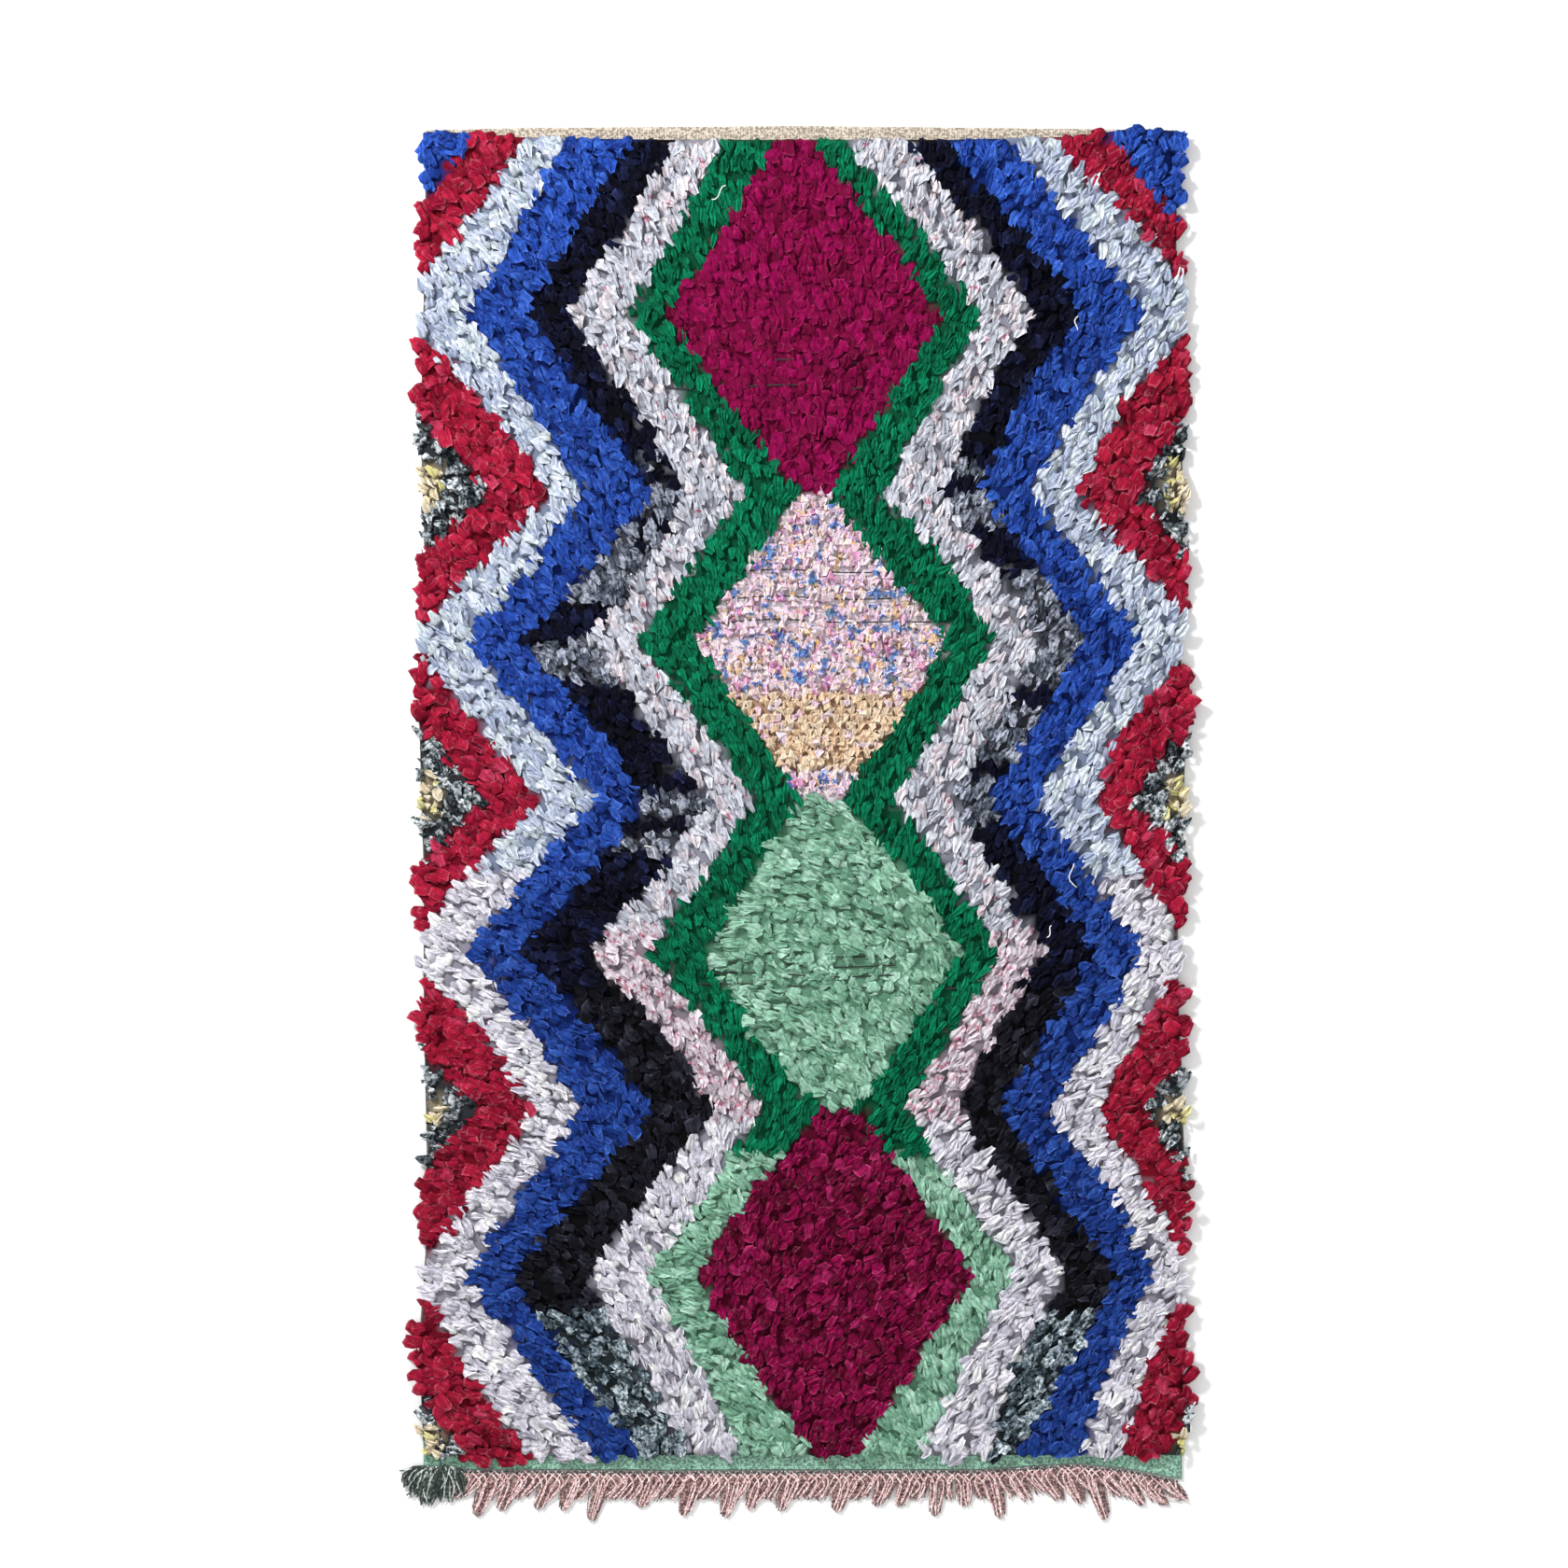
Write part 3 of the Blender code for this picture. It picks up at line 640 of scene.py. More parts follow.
def tie_rags(knots, templates, dyes, finish, size=1.0, tumble=0.35, tones=None):
    """Copies of the rags, one at each knot, joined into one mesh. Each copy keeps its own dye and number."""
    name = knots.cloth + "_rags"
    draw = knots.draw
    count = len(knots.x)
    kind = draw.randint(0, len(templates), count)
    stretch = draw.uniform(*LENGTH_PLAY, count) * size * knots.reach_share
    widen = draw.uniform(*WIDTH_PLAY, count) * size
    roll = draw.normal(0, tumble, count)
    widen = np.where(np.abs(roll) > MUCH_ROLLED, widen * ROLLED_WIDTH, widen)
    pitch = draw.normal(0, PITCH_PLAY, count)
    sink = draw.uniform(*SINK_PLAY, count)
    shade = draw.uniform(0, 1, count)
    number = draw.uniform(0, 1, count)
    flip = np.where(draw.uniform(0, 1, count) < 0.5, -1, 1)
    shares = np.array([dye.share for dye in dyes], float)
    dye_index = draw.choice(len(dyes), count, p=shares / shares.sum())
    dark = np.array([dyed(*dye.dark) for dye in dyes])[dye_index]
    light = np.array([dyed(*dye.light) for dye in dyes])[dye_index]
    colours = dark + (light - dark) * shade[:, None]
    if tones:
        colours = colours * along(tones, knots.y, "y", "tone")[:, None]
    joined = []
    base = 0
    for which, template in enumerate(templates):
        own = np.flatnonzero(kind == which)
        if not len(own):
            continue
        shape = template.points
        each = len(shape)
        px = shape[None, :, 0] * stretch[own, None]
        py = shape[None, :, 1] * (widen * flip)[own, None]
        pz = shape[None, :, 2] * (1 + knots.rise[own, None])
        middle = pz.mean(axis=1, keepdims=True)
        held = np.clip(template.far * KNOT_GRIP, 0, 1)
        turn = roll[own, None] * held[None, :]
        py, pz = (
            py * np.cos(turn) - (pz - middle) * np.sin(turn),
            middle + py * np.sin(turn) + (pz - middle) * np.cos(turn),
        )
        pz = pz + px * np.sin(pitch[own, None]) + sink[own, None]
        cl, sl = np.cos(knots.lay[own, None]), np.sin(knots.lay[own, None])
        wx = knots.x[own, None] + px * cl - py * sl
        wy = knots.y[own, None] + px * sl + py * cl
        pz = np.where(pz > PILE_CREST_Z, PILE_CREST_Z + CREST_GIVE * (pz - PILE_CREST_Z), pz)
        wz = np.maximum(ROOT_Z + pz, LOWEST_Z)
        corners = np.tile(template.corners, (len(own), 1))
        corners[flip[own] < 0] = template.corners.reshape(-1, 4)[:, ::-1].reshape(-1)
        far, side, crest = [np.tile(part, len(own)) for part in (template.far, template.side, template.crest)]
        joined.append((
            np.stack([wx, wy, wz], axis=2).reshape(-1, 3),
            (corners + base + np.arange(len(own))[:, None] * each).reshape(-1),
            np.tile(template.sizes, len(own)),
            np.column_stack([np.repeat(colours[own], each, axis=0), crest]),
            np.column_stack([far, side, np.repeat(number[own], each)]),
        ))
        base += len(own) * each
    points, corners, sizes, point_dyes, point_lies = [np.concatenate(part) for part in zip(*joined)]
    mesh = bpy.data.meshes.new(name)
    mesh.vertices.add(len(points))
    mesh.vertices.foreach_set("co", points.astype(np.float32).ravel())
    mesh.loops.add(len(corners))
    mesh.loops.foreach_set("vertex_index", corners.astype(np.int32))
    mesh.polygons.add(len(sizes))
    starts = np.concatenate([[0], np.cumsum(sizes)[:-1]])
    mesh.polygons.foreach_set("loop_start", starts.astype(np.int32))
    mesh.update(calc_edges=True)
    write_dye_and_lie(mesh, point_dyes, point_lies)
    mesh.shade_smooth()
    mesh.set_sharp_from_angle(angle=SHARP_FOLD)
    add_piece(name, mesh, finish, "rag_pile")


# Every rag is old cotton or jersey. Its finish is its own dye, streaked along the strip, with painted shade
# down at the knot, in the pleats and along fine creases, a painted highlight towards its edges and tip, and a
# pale painted sheen on its edges and folds. The threads of the cloth are fine relief.
STREAKS = 0.9
STREAK_SPREAD = (1.8, 3.2, 97.0)
CREASE_SPREAD = (2.6, 4.4, 61.0)
CREASE_LINE = 0.035
ROOT_FADE = (0.02, 0.45)
EDGE_FADE = (0.80, 0.97)
SHEEN_EDGE = (0.88, 1)
SHEEN_FOLD = (0.60, 0.72)
SHEEN_FROM = (0.35, 0.55)
SHEEN_PALE = (0.74, 0.74, 0.78, 1)
THREAD_SCALE = 600
CREASE_RELIEF = 2.2

rag_cloth = bpy.data.node_groups.new("rag_cloth", "ShaderNodeTree")
for socket in ("Streaks", "Root Shade", "Pleat Shade", "Edge Light", "Crease Shade", "Painted Sheen"):
    rag_cloth.interface.new_socket(socket, in_out="INPUT", socket_type="NodeSocketFloat")
rag_cloth.interface.new_socket("Color", in_out="OUTPUT", socket_type="NodeSocketColor")
rag_cloth.interface.new_socket("Height", in_out="OUTPUT", socket_type="NodeSocketFloat")
asked = rag_cloth.nodes.new("NodeGroupInput").outputs
given = rag_cloth.nodes.new("NodeGroupOutput").inputs
dye = add_node(rag_cloth, "Attribute", attribute_name="dye")
lie = add_node(rag_cloth, "Attribute", attribute_name="lie")["Vector"]
lie_parts = add_node(rag_cloth, "SeparateXYZ", {0: lie})


def strip_noise(spread, detail):
    """Noise that runs along each strip and differs from rag to rag."""
    place = add_node(rag_cloth, "VectorMath", {0: lie, 1: spread}, operation="MULTIPLY")["Vector"]
    return add_node(rag_cloth, "TexNoise", {"Vector": place, "Scale": 1.0, "Detail": detail})["Fac"]


streak = strip_noise(STREAK_SPREAD, 3)
crease = strip_noise(CREASE_SPREAD, 1)
crease_away = worked(rag_cloth, "ABSOLUTE", worked(rag_cloth, "SUBTRACT", crease, 0.5))
edge = worked(rag_cloth, "MAXIMUM", worked(rag_cloth, "ABSOLUTE", lie_parts["Y"]), lie_parts["X"])
# Painted shade: darker down at the knot, in the pleat valleys and along fine crease lines; and a painted
# highlight that lightens each rag towards its edges and tip.
shades = [
    faded(rag_cloth, lie_parts["X"], *ROOT_FADE, asked["Root Shade"], 1, "SMOOTHSTEP"),
    faded(rag_cloth, dye["Alpha"], 0, 1, asked["Pleat Shade"], 1),
    faded(rag_cloth, edge, *EDGE_FADE, 1, asked["Edge Light"]),
    faded(rag_cloth, crease_away, 0, CREASE_LINE, asked["Crease Shade"], 1),
]
streak_tone = worked(rag_cloth, "SUBTRACT", streak, 0.5)
tone = worked(rag_cloth, "MULTIPLY_ADD", streak_tone, asked["Streaks"], 1)
for shade in shades:
    tone = worked(rag_cloth, "MULTIPLY", tone, shade)
plain = add_node(rag_cloth, "VectorMath", {0: dye["Color"], "Scale": tone}, operation="SCALE")["Vector"]
# Painted sheen: a pale tone is mixed in on the edges and on some folds, away from the root, as a painted
# highlight.
sheen_edge = faded(rag_cloth, edge, *SHEEN_EDGE)
sheen_fold = faded(rag_cloth, crease, *SHEEN_FOLD)
above_root = faded(rag_cloth, lie_parts["X"], *SHEEN_FROM)
sheen_mask = worked(rag_cloth, "MULTIPLY", worked(rag_cloth, "MAXIMUM", sheen_edge, sheen_fold), above_root)
painted_sheen = worked(rag_cloth, "MULTIPLY", sheen_mask, asked["Painted Sheen"])
sheened_colour = add_node(rag_cloth, "Mix", {"Factor": painted_sheen, "A": plain, "B": SHEEN_PALE}, data_type="RGBA")["Result"]
rag_cloth.links.new(sheened_colour, given["Color"])
spot = add_node(rag_cloth, "TexCoord")["Object"]
threads = add_node(rag_cloth, "TexNoise", {"Vector": spot, "Scale": THREAD_SCALE, "Detail": 2})["Fac"]
rag_cloth.links.new(worked(rag_cloth, "MULTIPLY_ADD", streak, CREASE_RELIEF, threads), given["Height"])


def rag_finish(name, root_shade=0.54, pleat_shade=0.70, edge_light=1.3, crease_shade=0.5, painted_sheen=0.05):
    """The finish of a plainly dyed rag, with the painted shade, highlight and sheen of rag_cloth."""
    finish, tree, shader = new_finish(name, 0.9, 0)
    sockets = {
        "Streaks": STREAKS, "Root Shade": root_shade, "Pleat Shade": pleat_shade,
        "Edge Light": edge_light, "Crease Shade": crease_shade, "Painted Sheen": painted_sheen,
    }
    rag = add_node(tree, "Group", sockets, node_tree=rag_cloth)
    tree.links.new(rag["Color"], shader.inputs["Base Color"])
    add_relief(tree, shader, rag["Height"], 0.9, 0.0010)
    return finish


InkCluster = namedtuple("InkCluster", "ink scale level")
BARE = (255, 255, 255)
CLUSTER_EDGE = 0.03


def inked(tree, share, cloth, ink):
    """The colour of the cloth where an ink is printed over it."""
    sockets = {"Factor": share, "A": cloth, "B": ink}
    return add_node(tree, "Mix", sockets, data_type="RGBA", blend_type="MULTIPLY")["Result"]


def printed_finish(name, inks, scale, strength=1.0, cluster=None):
    """The finish of printed cloth: flecks of several inks. A print with one ink in clusters is crisp."""
    finish = rag_finish(name, crease_shade=0.6)
    tree = finish.node_tree
    base = tree.nodes["Principled BSDF"].inputs["Base Color"]
    spot = add_node(tree, "TexCoord")["Object"]
    grain = {"Vector": spot, "Scale": scale, "Detail": 2.5, "Roughness": 0.65}
    flecks = add_node(tree, "TexNoise", grain)["Fac"]
    print_colour = dye_steps(tree, flecks, inks, "CONSTANT" if cluster else "LINEAR")
    colour = inked(tree, strength, base.links[0].from_socket, print_colour)
    if cluster:
        grain = {"Vector": spot, "Scale": cluster.scale, "Detail": 4, "Roughness": 0.6}
        patches = add_node(tree, "TexNoise", grain)["Fac"]
        patch = faded(tree, patches, cluster.level, cluster.level + CLUSTER_EDGE)
        colour = inked(tree, patch, colour, (*dyed(*cluster.ink), 1))
    tree.links.new(colour, base)
    return finish


# Under the rags' tips the rows of knots lie close together and close the pile, in dyes mostly darker than
# the rags' own: painted shade in the gaps. They lie lower under the two finely torn cloths.
BED_COLUMNS = 54
BED_ROWS = 90
BED_WIDTH = 1.07
BED_Z = 0.0088
FINE_BED_Z = 0.0064
BED_RIM_Z = 0.0046
BED_THICK = 0.0012
BED_LUMP = 0.0022
BED_LUMPS_PER_METRE = 60
# The lie puts the knots partly in the rag finish's painted root shade.
BED_LIE = (0.35, 0.0, 0.5)
# Mostly darker than the rags' own dyes: painted shade where the knots show between the rags.
BED_SHADED_DYES = {
    "magenta": (112, 2, 54), "wine": (84, 0, 34), "floral": (242, 230, 240), "peach": (180, 144, 118),
    "mint": (98, 144, 118), "green": (3, 76, 48), "lilac": (140, 140, 154), "pinkish": (140, 128, 138),
    "white": (144, 140, 154), "navy": (1, 2, 9), "pepper": (62, 64, 72), "black": (4, 4, 7),
    "moss": (36, 44, 46), "blue": (18, 40, 108), "sky": (124, 136, 160), "red": (112, 4, 28),
    "grey": (44, 48, 52), "cream": (136, 126, 106),
}

bed = bmesh.new()
bmesh.ops.create_grid(bed, x_segments=BED_COLUMNS, y_segments=BED_ROWS, size=0.5)
for vert in bed.verts:
    across, up = vert.co.x + 0.5, vert.co.y + 0.5
    top = along(PILE_TOP, BED_WIDTH * vert.co.x, "x", "y")
    y = PILE_BOTTOM_Y + (top - PILE_BOTTOM_Y) * up
    left, right = selvedges_at(y, KNOT_INSET)
    x = left + (right - left) * across
    lump = BED_LUMP * noise.noise(Vector((x * BED_LUMPS_PER_METRE, y * BED_LUMPS_PER_METRE, 5)))
    vert.co = (x, y, BED_RIM_Z if vert.is_boundary else BED_Z + lump)
bed_places = np.array([vert.co for vert in bed.verts])
bed_cloths = cloth_at(bed_places[:, 0], bed_places[:, 1])
for vert, cloth_name in zip(bed.verts, bed_cloths):
    if cloth_name in ("floral", "peach"):
        vert.co.z += FINE_BED_Z - BED_Z
bed_mesh = mesh_from(bed, "knot_bed")
bed_shaded_dyes = np.array([(*dyed(*BED_SHADED_DYES[cloth_name]), 1) for cloth_name in bed_cloths])
write_dye_and_lie(bed_mesh, bed_shaded_dyes, np.tile(BED_LIE, (len(bed_places), 1)))
bed_mesh.shade_smooth()
knot_bed = add_piece("knot_bed", bed_mesh, rag_finish("knotted_roots"), "rag_pile")
thicken(knot_bed, BED_THICK)

# The lozenges at both ends of the rug are jersey, the top one magenta and smooth, and the bottom one wine
# red, coarser and crumpled.
MAGENTA_DYES = [Dye((124, 0, 60), (148, 0, 80), 3), Dye((106, 0, 48), (126, 0, 62), 1.2)]
tie_rags(
    knots_of("magenta", 0.0090, 0.0122, 11, row_play=0.10), plates[:6] + leaves[:4] + crumpled[:2],
    MAGENTA_DYES, rag_finish("magenta_jersey", root_shade=0.66, pleat_shade=0.8, painted_sheen=0.025),
    tumble=0.2,
)
WINE_DYES = [
    Dye((116, 0, 52), (146, 2, 74), 3),
    Dye((92, 0, 38), (116, 0, 54), 1.3),
    Dye((142, 14, 72), (168, 32, 96), 0.4),
]
tie_rags(
    knots_of("wine", 0.0096, 0.0124, 12), crumpled + leaves[:4] + plates[:3], WINE_DYES,
    rag_finish("wine_jersey", root_shade=0.36, pleat_shade=0.6, edge_light=1.6, painted_sheen=0.05),
)

# The second lozenge is a flowered cotton print, torn fine and knotted closely, with a stretch of plain
# peach cotton across it.
FLORAL_INKS = [
    (0.00, (250, 212, 146)), (0.40, BARE), (0.445, (240, 112, 178)), (0.47, BARE),
    (0.525, (206, 136, 224)), (0.55, BARE), (0.60, (250, 210, 144)), (0.64, BARE),
]
BLUE_FLOWERS = InkCluster((118, 172, 234), 48, 0.57)
FLORAL_DYES = [
    Dye((248, 248, 252), (254, 254, 255), 5),
    Dye((240, 216, 240), (252, 238, 252), 2),
    Dye((228, 166, 212), (246, 196, 230), 0.5),
    Dye((246, 222, 170), (252, 238, 200), 0.4),
]
tie_rags(
    knots_of("floral", 0.0060, 0.0098, 21, reach=0.006, row_play=0.14), knobbles, FLORAL_DYES,
    printed_finish("flowered_cotton", FLORAL_INKS, 200, 0.95, BLUE_FLOWERS), size=1.15, tumble=0.45,
)
PEACH_DYES = [Dye((236, 200, 164), (250, 232, 206), 4), Dye((246, 206, 226), (250, 234, 244), 0.5)]
tie_rags(
    knots_of("peach", 0.0062, 0.0100, 22, reach=0.006, row_play=0.16), knobbles, PEACH_DYES,
    rag_finish("peach_cotton"), size=1.1,
)

# The third lozenge and the last lozenge's border are washed mint cotton, in leaf-like strips that lie
# across the rug.
MINT_DYES = [Dye((106, 156, 130), (160, 208, 182), 3), Dye((135, 184, 160), (184, 225, 204), 1.2)]
tie_rags(
    knots_of("mint", 0.0132, 0.0087, 31, row_play=0.20, lay_turn=62), petals[:6] + leaves[:4], MINT_DYES,
    rag_finish("mint_cotton", root_shade=0.5, crease_shade=0.45), tumble=0.35,
)

# The border round the lozenges is emerald jersey, torn into soft narrow strips that crumple, and knotted
# in a band of an even width.
GREEN_DYES = [Dye((0, 102, 68), (2, 134, 92), 3), Dye((0, 86, 56), (0, 108, 74), 1)]
tie_rags(
    knots_of("green", 0.0100, 0.0110, 41), stranded, GREEN_DYES,
    rag_finish("emerald_jersey", root_shade=0.62, pleat_shade=0.74, painted_sheen=0.012),
)

# The pale band round the border is lilac grey cotton, torn into thin pointed strips, then a pink print,
# then white cotton, which comes back in the lower half of the outer pale band.
LILAC_INKS = [(0.30, (236, 150, 170)), (0.37, BARE), (0.60, BARE)]
LILAC_DYES = [Dye((180, 184, 196), (228, 230, 240), 3), Dye((204, 196, 204), (240, 232, 238), 1)]
tie_rags(
    knots_of("lilac", 0.0108, 0.0115, 51), petals, LILAC_DYES,
    printed_finish("lilac_cotton", LILAC_INKS, 60),
)
PINK_INKS = [(0.36, (214, 130, 150)), (0.46, (245, 235, 240)), (0.66, (255, 250, 252))]
PINKISH_DYES = [Dye((200, 194, 202), (246, 242, 248), 3)]
tie_rags(
    knots_of("pinkish", 0.0108, 0.0115, 52), petals + crumpled[:2], PINKISH_DYES,
    printed_finish("pink_print", PINK_INKS, 110, 0.9),
)
WHITE_DYES = [Dye((192, 190, 204), (244, 240, 250), 3), Dye((212, 212, 222), (250, 250, 250), 1)]
tie_rags(
    knots_of("white", 0.0108, 0.0115, 53), petals + leaves[:4], WHITE_DYES,
    rag_finish("white_jersey"),
)

# The dark band is navy, then black wool jersey in folded strips. Runs of salt-and-pepper cloth come
# between them, and mossy mixed cloth ends the band near the fringe.
NAVY_DYES = [Dye((1, 2, 16), (9, 12, 36), 4), Dye((12, 16, 44), (26, 32, 66), 1)]
tie_rags(
    knots_of("navy", 0.0120, 0.0130, 61), crumpled + plates[:4], NAVY_DYES,
    rag_finish("navy_jersey", edge_light=2.4, painted_sheen=0.010), tumble=0.3,
)
BLACK_DYES = [Dye((6, 6, 14), (22, 22, 32), 3), Dye((22, 22, 32), (44, 44, 56), 1)]
tie_rags(
    knots_of("black", 0.0120, 0.0130, 62), crumpled + plates[:6], BLACK_DYES,
    rag_finish("black_jersey", edge_light=2.8, painted_sheen=0.010), tumble=0.4,
)
PEPPER_INKS = [(0.38, (130, 132, 140)), (0.48, (210, 210, 216)), (0.56, BARE)]
PEPPER_DYES = [Dye((138, 144, 158), (200, 206, 222), 2), Dye((60, 66, 78), (122, 130, 146), 1)]
tie_rags(
    knots_of("pepper", 0.0105, 0.0112, 63), petals + knobbles[:3], PEPPER_DYES,
    printed_finish("salt_and_pepper", PEPPER_INKS, 160),
)
MOSS_INKS = [(0.38, (70, 86, 86)), (0.50, (170, 184, 186)), (0.60, (250, 255, 255))]
MOSS_DYES = [Dye((154, 166, 180), (244, 248, 255), 3), Dye((56, 70, 80), (124, 136, 148), 1.5)]
tie_rags(
    knots_of("moss", 0.0102, 0.0112, 64), petals[:4] + crumpled[:4] + knobbles[:2], MOSS_DYES,
    printed_finish("mossy_mix", MOSS_INKS, 150), tumble=0.5,
)

# The blue band is royal blue jersey, torn into broad pieces that fold over each other. It is darker
# towards the fringe.
BLUE_DYES = [Dye((30, 68, 160), (52, 94, 188), 3), Dye((22, 52, 132), (36, 74, 164), 1.4)]
BLUE_TONES = [ToneAt(0.9, 1.15), ToneAt(0.6, 0.95), ToneAt(0.2, 1.05), ToneAt(-0.2, 0.80), ToneAt(-0.9, 0.72)]
tie_rags(
    knots_of("blue", 0.0110, 0.0108, 71), crumpled + plates[:3] + petals[:4], BLUE_DYES,
    rag_finish("royal_blue_jersey", edge_light=1.5, painted_sheen=0.06), tumble=0.35, tones=BLUE_TONES,
)

# The upper half of the outer pale band is sky blue shirting, torn into thin pointed strips that lie over
# each other like feathers.
SKY_DYES = [Dye((164, 176, 202), (222, 230, 246), 3), Dye((186, 200, 212), (232, 240, 246), 1.4)]
tie_rags(knots_of("sky", 0.0108, 0.0115, 81), petals, SKY_DYES, rag_finish("sky_shirting"))

# The red band reaches the sides of the rug. It is jersey in broad pieces of a few reds, with a pale painted
# sheen on their edges.
RED_DYES = [
    Dye((146, 10, 44), (180, 28, 62), 3),
    Dye((118, 4, 34), (150, 14, 50), 1),
    Dye((170, 32, 66), (192, 54, 88), 0.4),
]
RED_TONES = [ToneAt(0.3, 1.0), ToneAt(-0.2, 1.0), ToneAt(-0.5, 0.88)]
tie_rags(
    knots_of("red", 0.0112, 0.0112, 91), plates + crumpled[:2] + leaves[:5], RED_DYES,
    rag_finish("red_jersey", root_shade=0.6, painted_sheen=0.09), size=1.08, tumble=0.3, tones=RED_TONES,
)

# At the sides, where the zigzags leave gaps, short rags of mixed grey cloth are knotted, and some of
# cream and yellow wool at the very edge.
GREY_INKS = [(0.40, (60, 72, 72)), (0.48, (150, 160, 162)), (0.56, BARE)]
GREY_DYES = [Dye((154, 162, 170), (242, 246, 250), 3), Dye((50, 58, 64), (114, 122, 130), 1.3)]
tie_rags(
    knots_of("grey", 0.0100, 0.0110, 95), petals[:6] + knobbles, GREY_DYES,
    printed_finish("mixed_grey_cloth", GREY_INKS, 150),
)
CREAM_DYES = [Dye((220, 204, 172), (246, 234, 208), 2), Dye((222, 214, 140), (242, 236, 180), 1)]
tie_rags(
    knots_of("cream", 0.0096, 0.0106, 97), petals[:4] + knobbles[:4], CREAM_DYES,
    rag_finish("cream_wool"), size=0.85,
)

# Where the pile parts widely along an old fold, a near-black yarn is laid along each such stretch, just over
# the knots, as a dark weft of the ground: a painted shadow in the gap between the rows of knots.
PARTING_YARN = 0.0010
PARTING_OPEN = 0.55
PARTING_YARN_Z = BED_Z + 0.0024
PARTING_STEP = 0.006
SAG = 0.0014
SAGS_PER_METRE = 40
LEAST_STEPS = 3


def add_yarns(name, routes, radius, finish, solid, sides=0, taper=1.0):
    """A piece of yarns along their routes, as closed tubes in one mesh. The taper thins their ends."""
    curve = bpy.data.curves.new(name, "CURVE")
    curve.dimensions = "3D"
    curve.bevel_depth = radius
    curve.bevel_resolution = sides
    curve.use_fill_caps = True
    for route in routes:
        spline = curve.splines.new("POLY")
        spline.points.add(len(route) - 1)
        for index, (point, place) in enumerate(zip(spline.points, route)):
            point.co = (*place, 1)
            point.radius = 1 - (1 - taper) * index / (len(route) - 1)
    holder = placed(name, curve)
    bpy.context.view_layer.update()
    mesh = bpy.data.meshes.new_from_object(holder.evaluated_get(bpy.context.evaluated_depsgraph_get()))
    bpy.data.objects.remove(holder)
    tube = bmesh.new()
    tube.from_mesh(mesh)
    bmesh.ops.remove_doubles(tube, verts=tube.verts, dist=0.00001)
    bmesh.ops.recalc_face_normals(tube, faces=tube.faces)
    tube.to_mesh(mesh)
    tube.free()
    mesh.name = name
    mesh.shade_smooth()
    add_piece(name, mesh, finish, solid)


YARN_STEPS = (0.36, 0.50, 0.64)


def yarn_finish(name, colours, scale=380):
    """Spun yarn: its three colours in short stretches, and the spin as fine relief."""
    finish, tree, shader = new_finish(name, 0.95, 0.25)
    grain = {"Vector": add_node(tree, "TexCoord")["Object"], "Scale": scale, "Detail": 3}
    flecks = add_node(tree, "TexNoise", grain)["Fac"]
    colour = dye_steps(tree, flecks, list(zip(YARN_STEPS, colours)))
    tree.links.new(colour, shader.inputs["Base Color"])
    add_relief(tree, shader, flecks, 0.7, 0.0005)
    return finish


parting_routes = []
for parting in PARTINGS:
    steps = np.arange(parting.left, parting.right, PARTING_STEP)
    heights, opened = parting_line(parting, steps)
    sags = [SAG * noise.noise(Vector((x * SAGS_PER_METRE, parting.y, 2))) for x in steps]
    line = np.column_stack([steps, heights, PARTING_YARN_Z + np.array(sags)])
    wide = opened > PARTING_OPEN
    for stretch in np.split(np.arange(len(steps)), np.flatnonzero(np.diff(wide)) + 1):
        if wide[stretch[0]] and len(stretch) >= LEAST_STEPS:
            parting_routes.append(line[stretch])
# The yarn's near-black colours are the painted shadow in the parting.
parting_shadow_yarn = yarn_finish("parting_shadow_wool", [(4, 6, 6), (12, 14, 14), (26, 28, 28)])
add_yarns("parting_shadow_wefts", parting_routes, PARTING_YARN, parting_shadow_yarn, "ground_weave")

# A few loose ends of pale sewing thread, left from the garments that were torn up, lie in short curls on
# top of the pile.
LooseEnd = namedtuple("LooseEnd", "x y length turn")
LOOSE_ENDS = [
    LooseEnd(-0.130, 0.886, 0.028, 35),
    LooseEnd(0.386, 0.700, 0.020, 80),
    LooseEnd(0.385, -0.090, 0.034, 100),
    LooseEnd(0.345, -0.160, 0.018, 60),
    LooseEnd(-0.205, -0.045, 0.024, 140),
]
LOOSE_END_Z = 0.0235
LOOSE_END_YARN = 0.0008
LOOSE_END_STEPS = 6
LOOSE_END_BOW = 0.16
LOOSE_END_CURL = 5

loose_routes = []
for end in LOOSE_ENDS:
    turn = math.radians(end.turn)
    route = []
    for step in range(LOOSE_END_STEPS + 1):
        share = step / LOOSE_END_STEPS
        bow = LOOSE_END_BOW * end.length * math.sin(share * LOOSE_END_CURL + end.turn)
        x = end.x + end.length * share * math.cos(turn) - bow * math.sin(turn)
        y = end.y + end.length * share * math.sin(turn) + bow * math.cos(turn)
        route.append((x, y, LOOSE_END_Z))
    loose_routes.append(route)
pale_thread = yarn_finish("pale_thread", [(214, 212, 208), (236, 234, 230), (250, 250, 248)])
add_yarns("loose_ends", loose_routes, LOOSE_END_YARN, pale_thread, "rag_pile")

# Past the green end two dark wool yarns are twined round each other and round the warps, in one tight
# line that holds the weave.
FRINGE_LEFT = -0.488
FRINGE_RIGHT = 0.532
TWINE_PITCH = 0.0095
TWINE_YARN = 0.0013
TWINE_STEPS = 7
TWINE_Z = 0.0044
TWINE_BELOW = 0.0035
TWINE_TURN_RADIUS = 0.0011

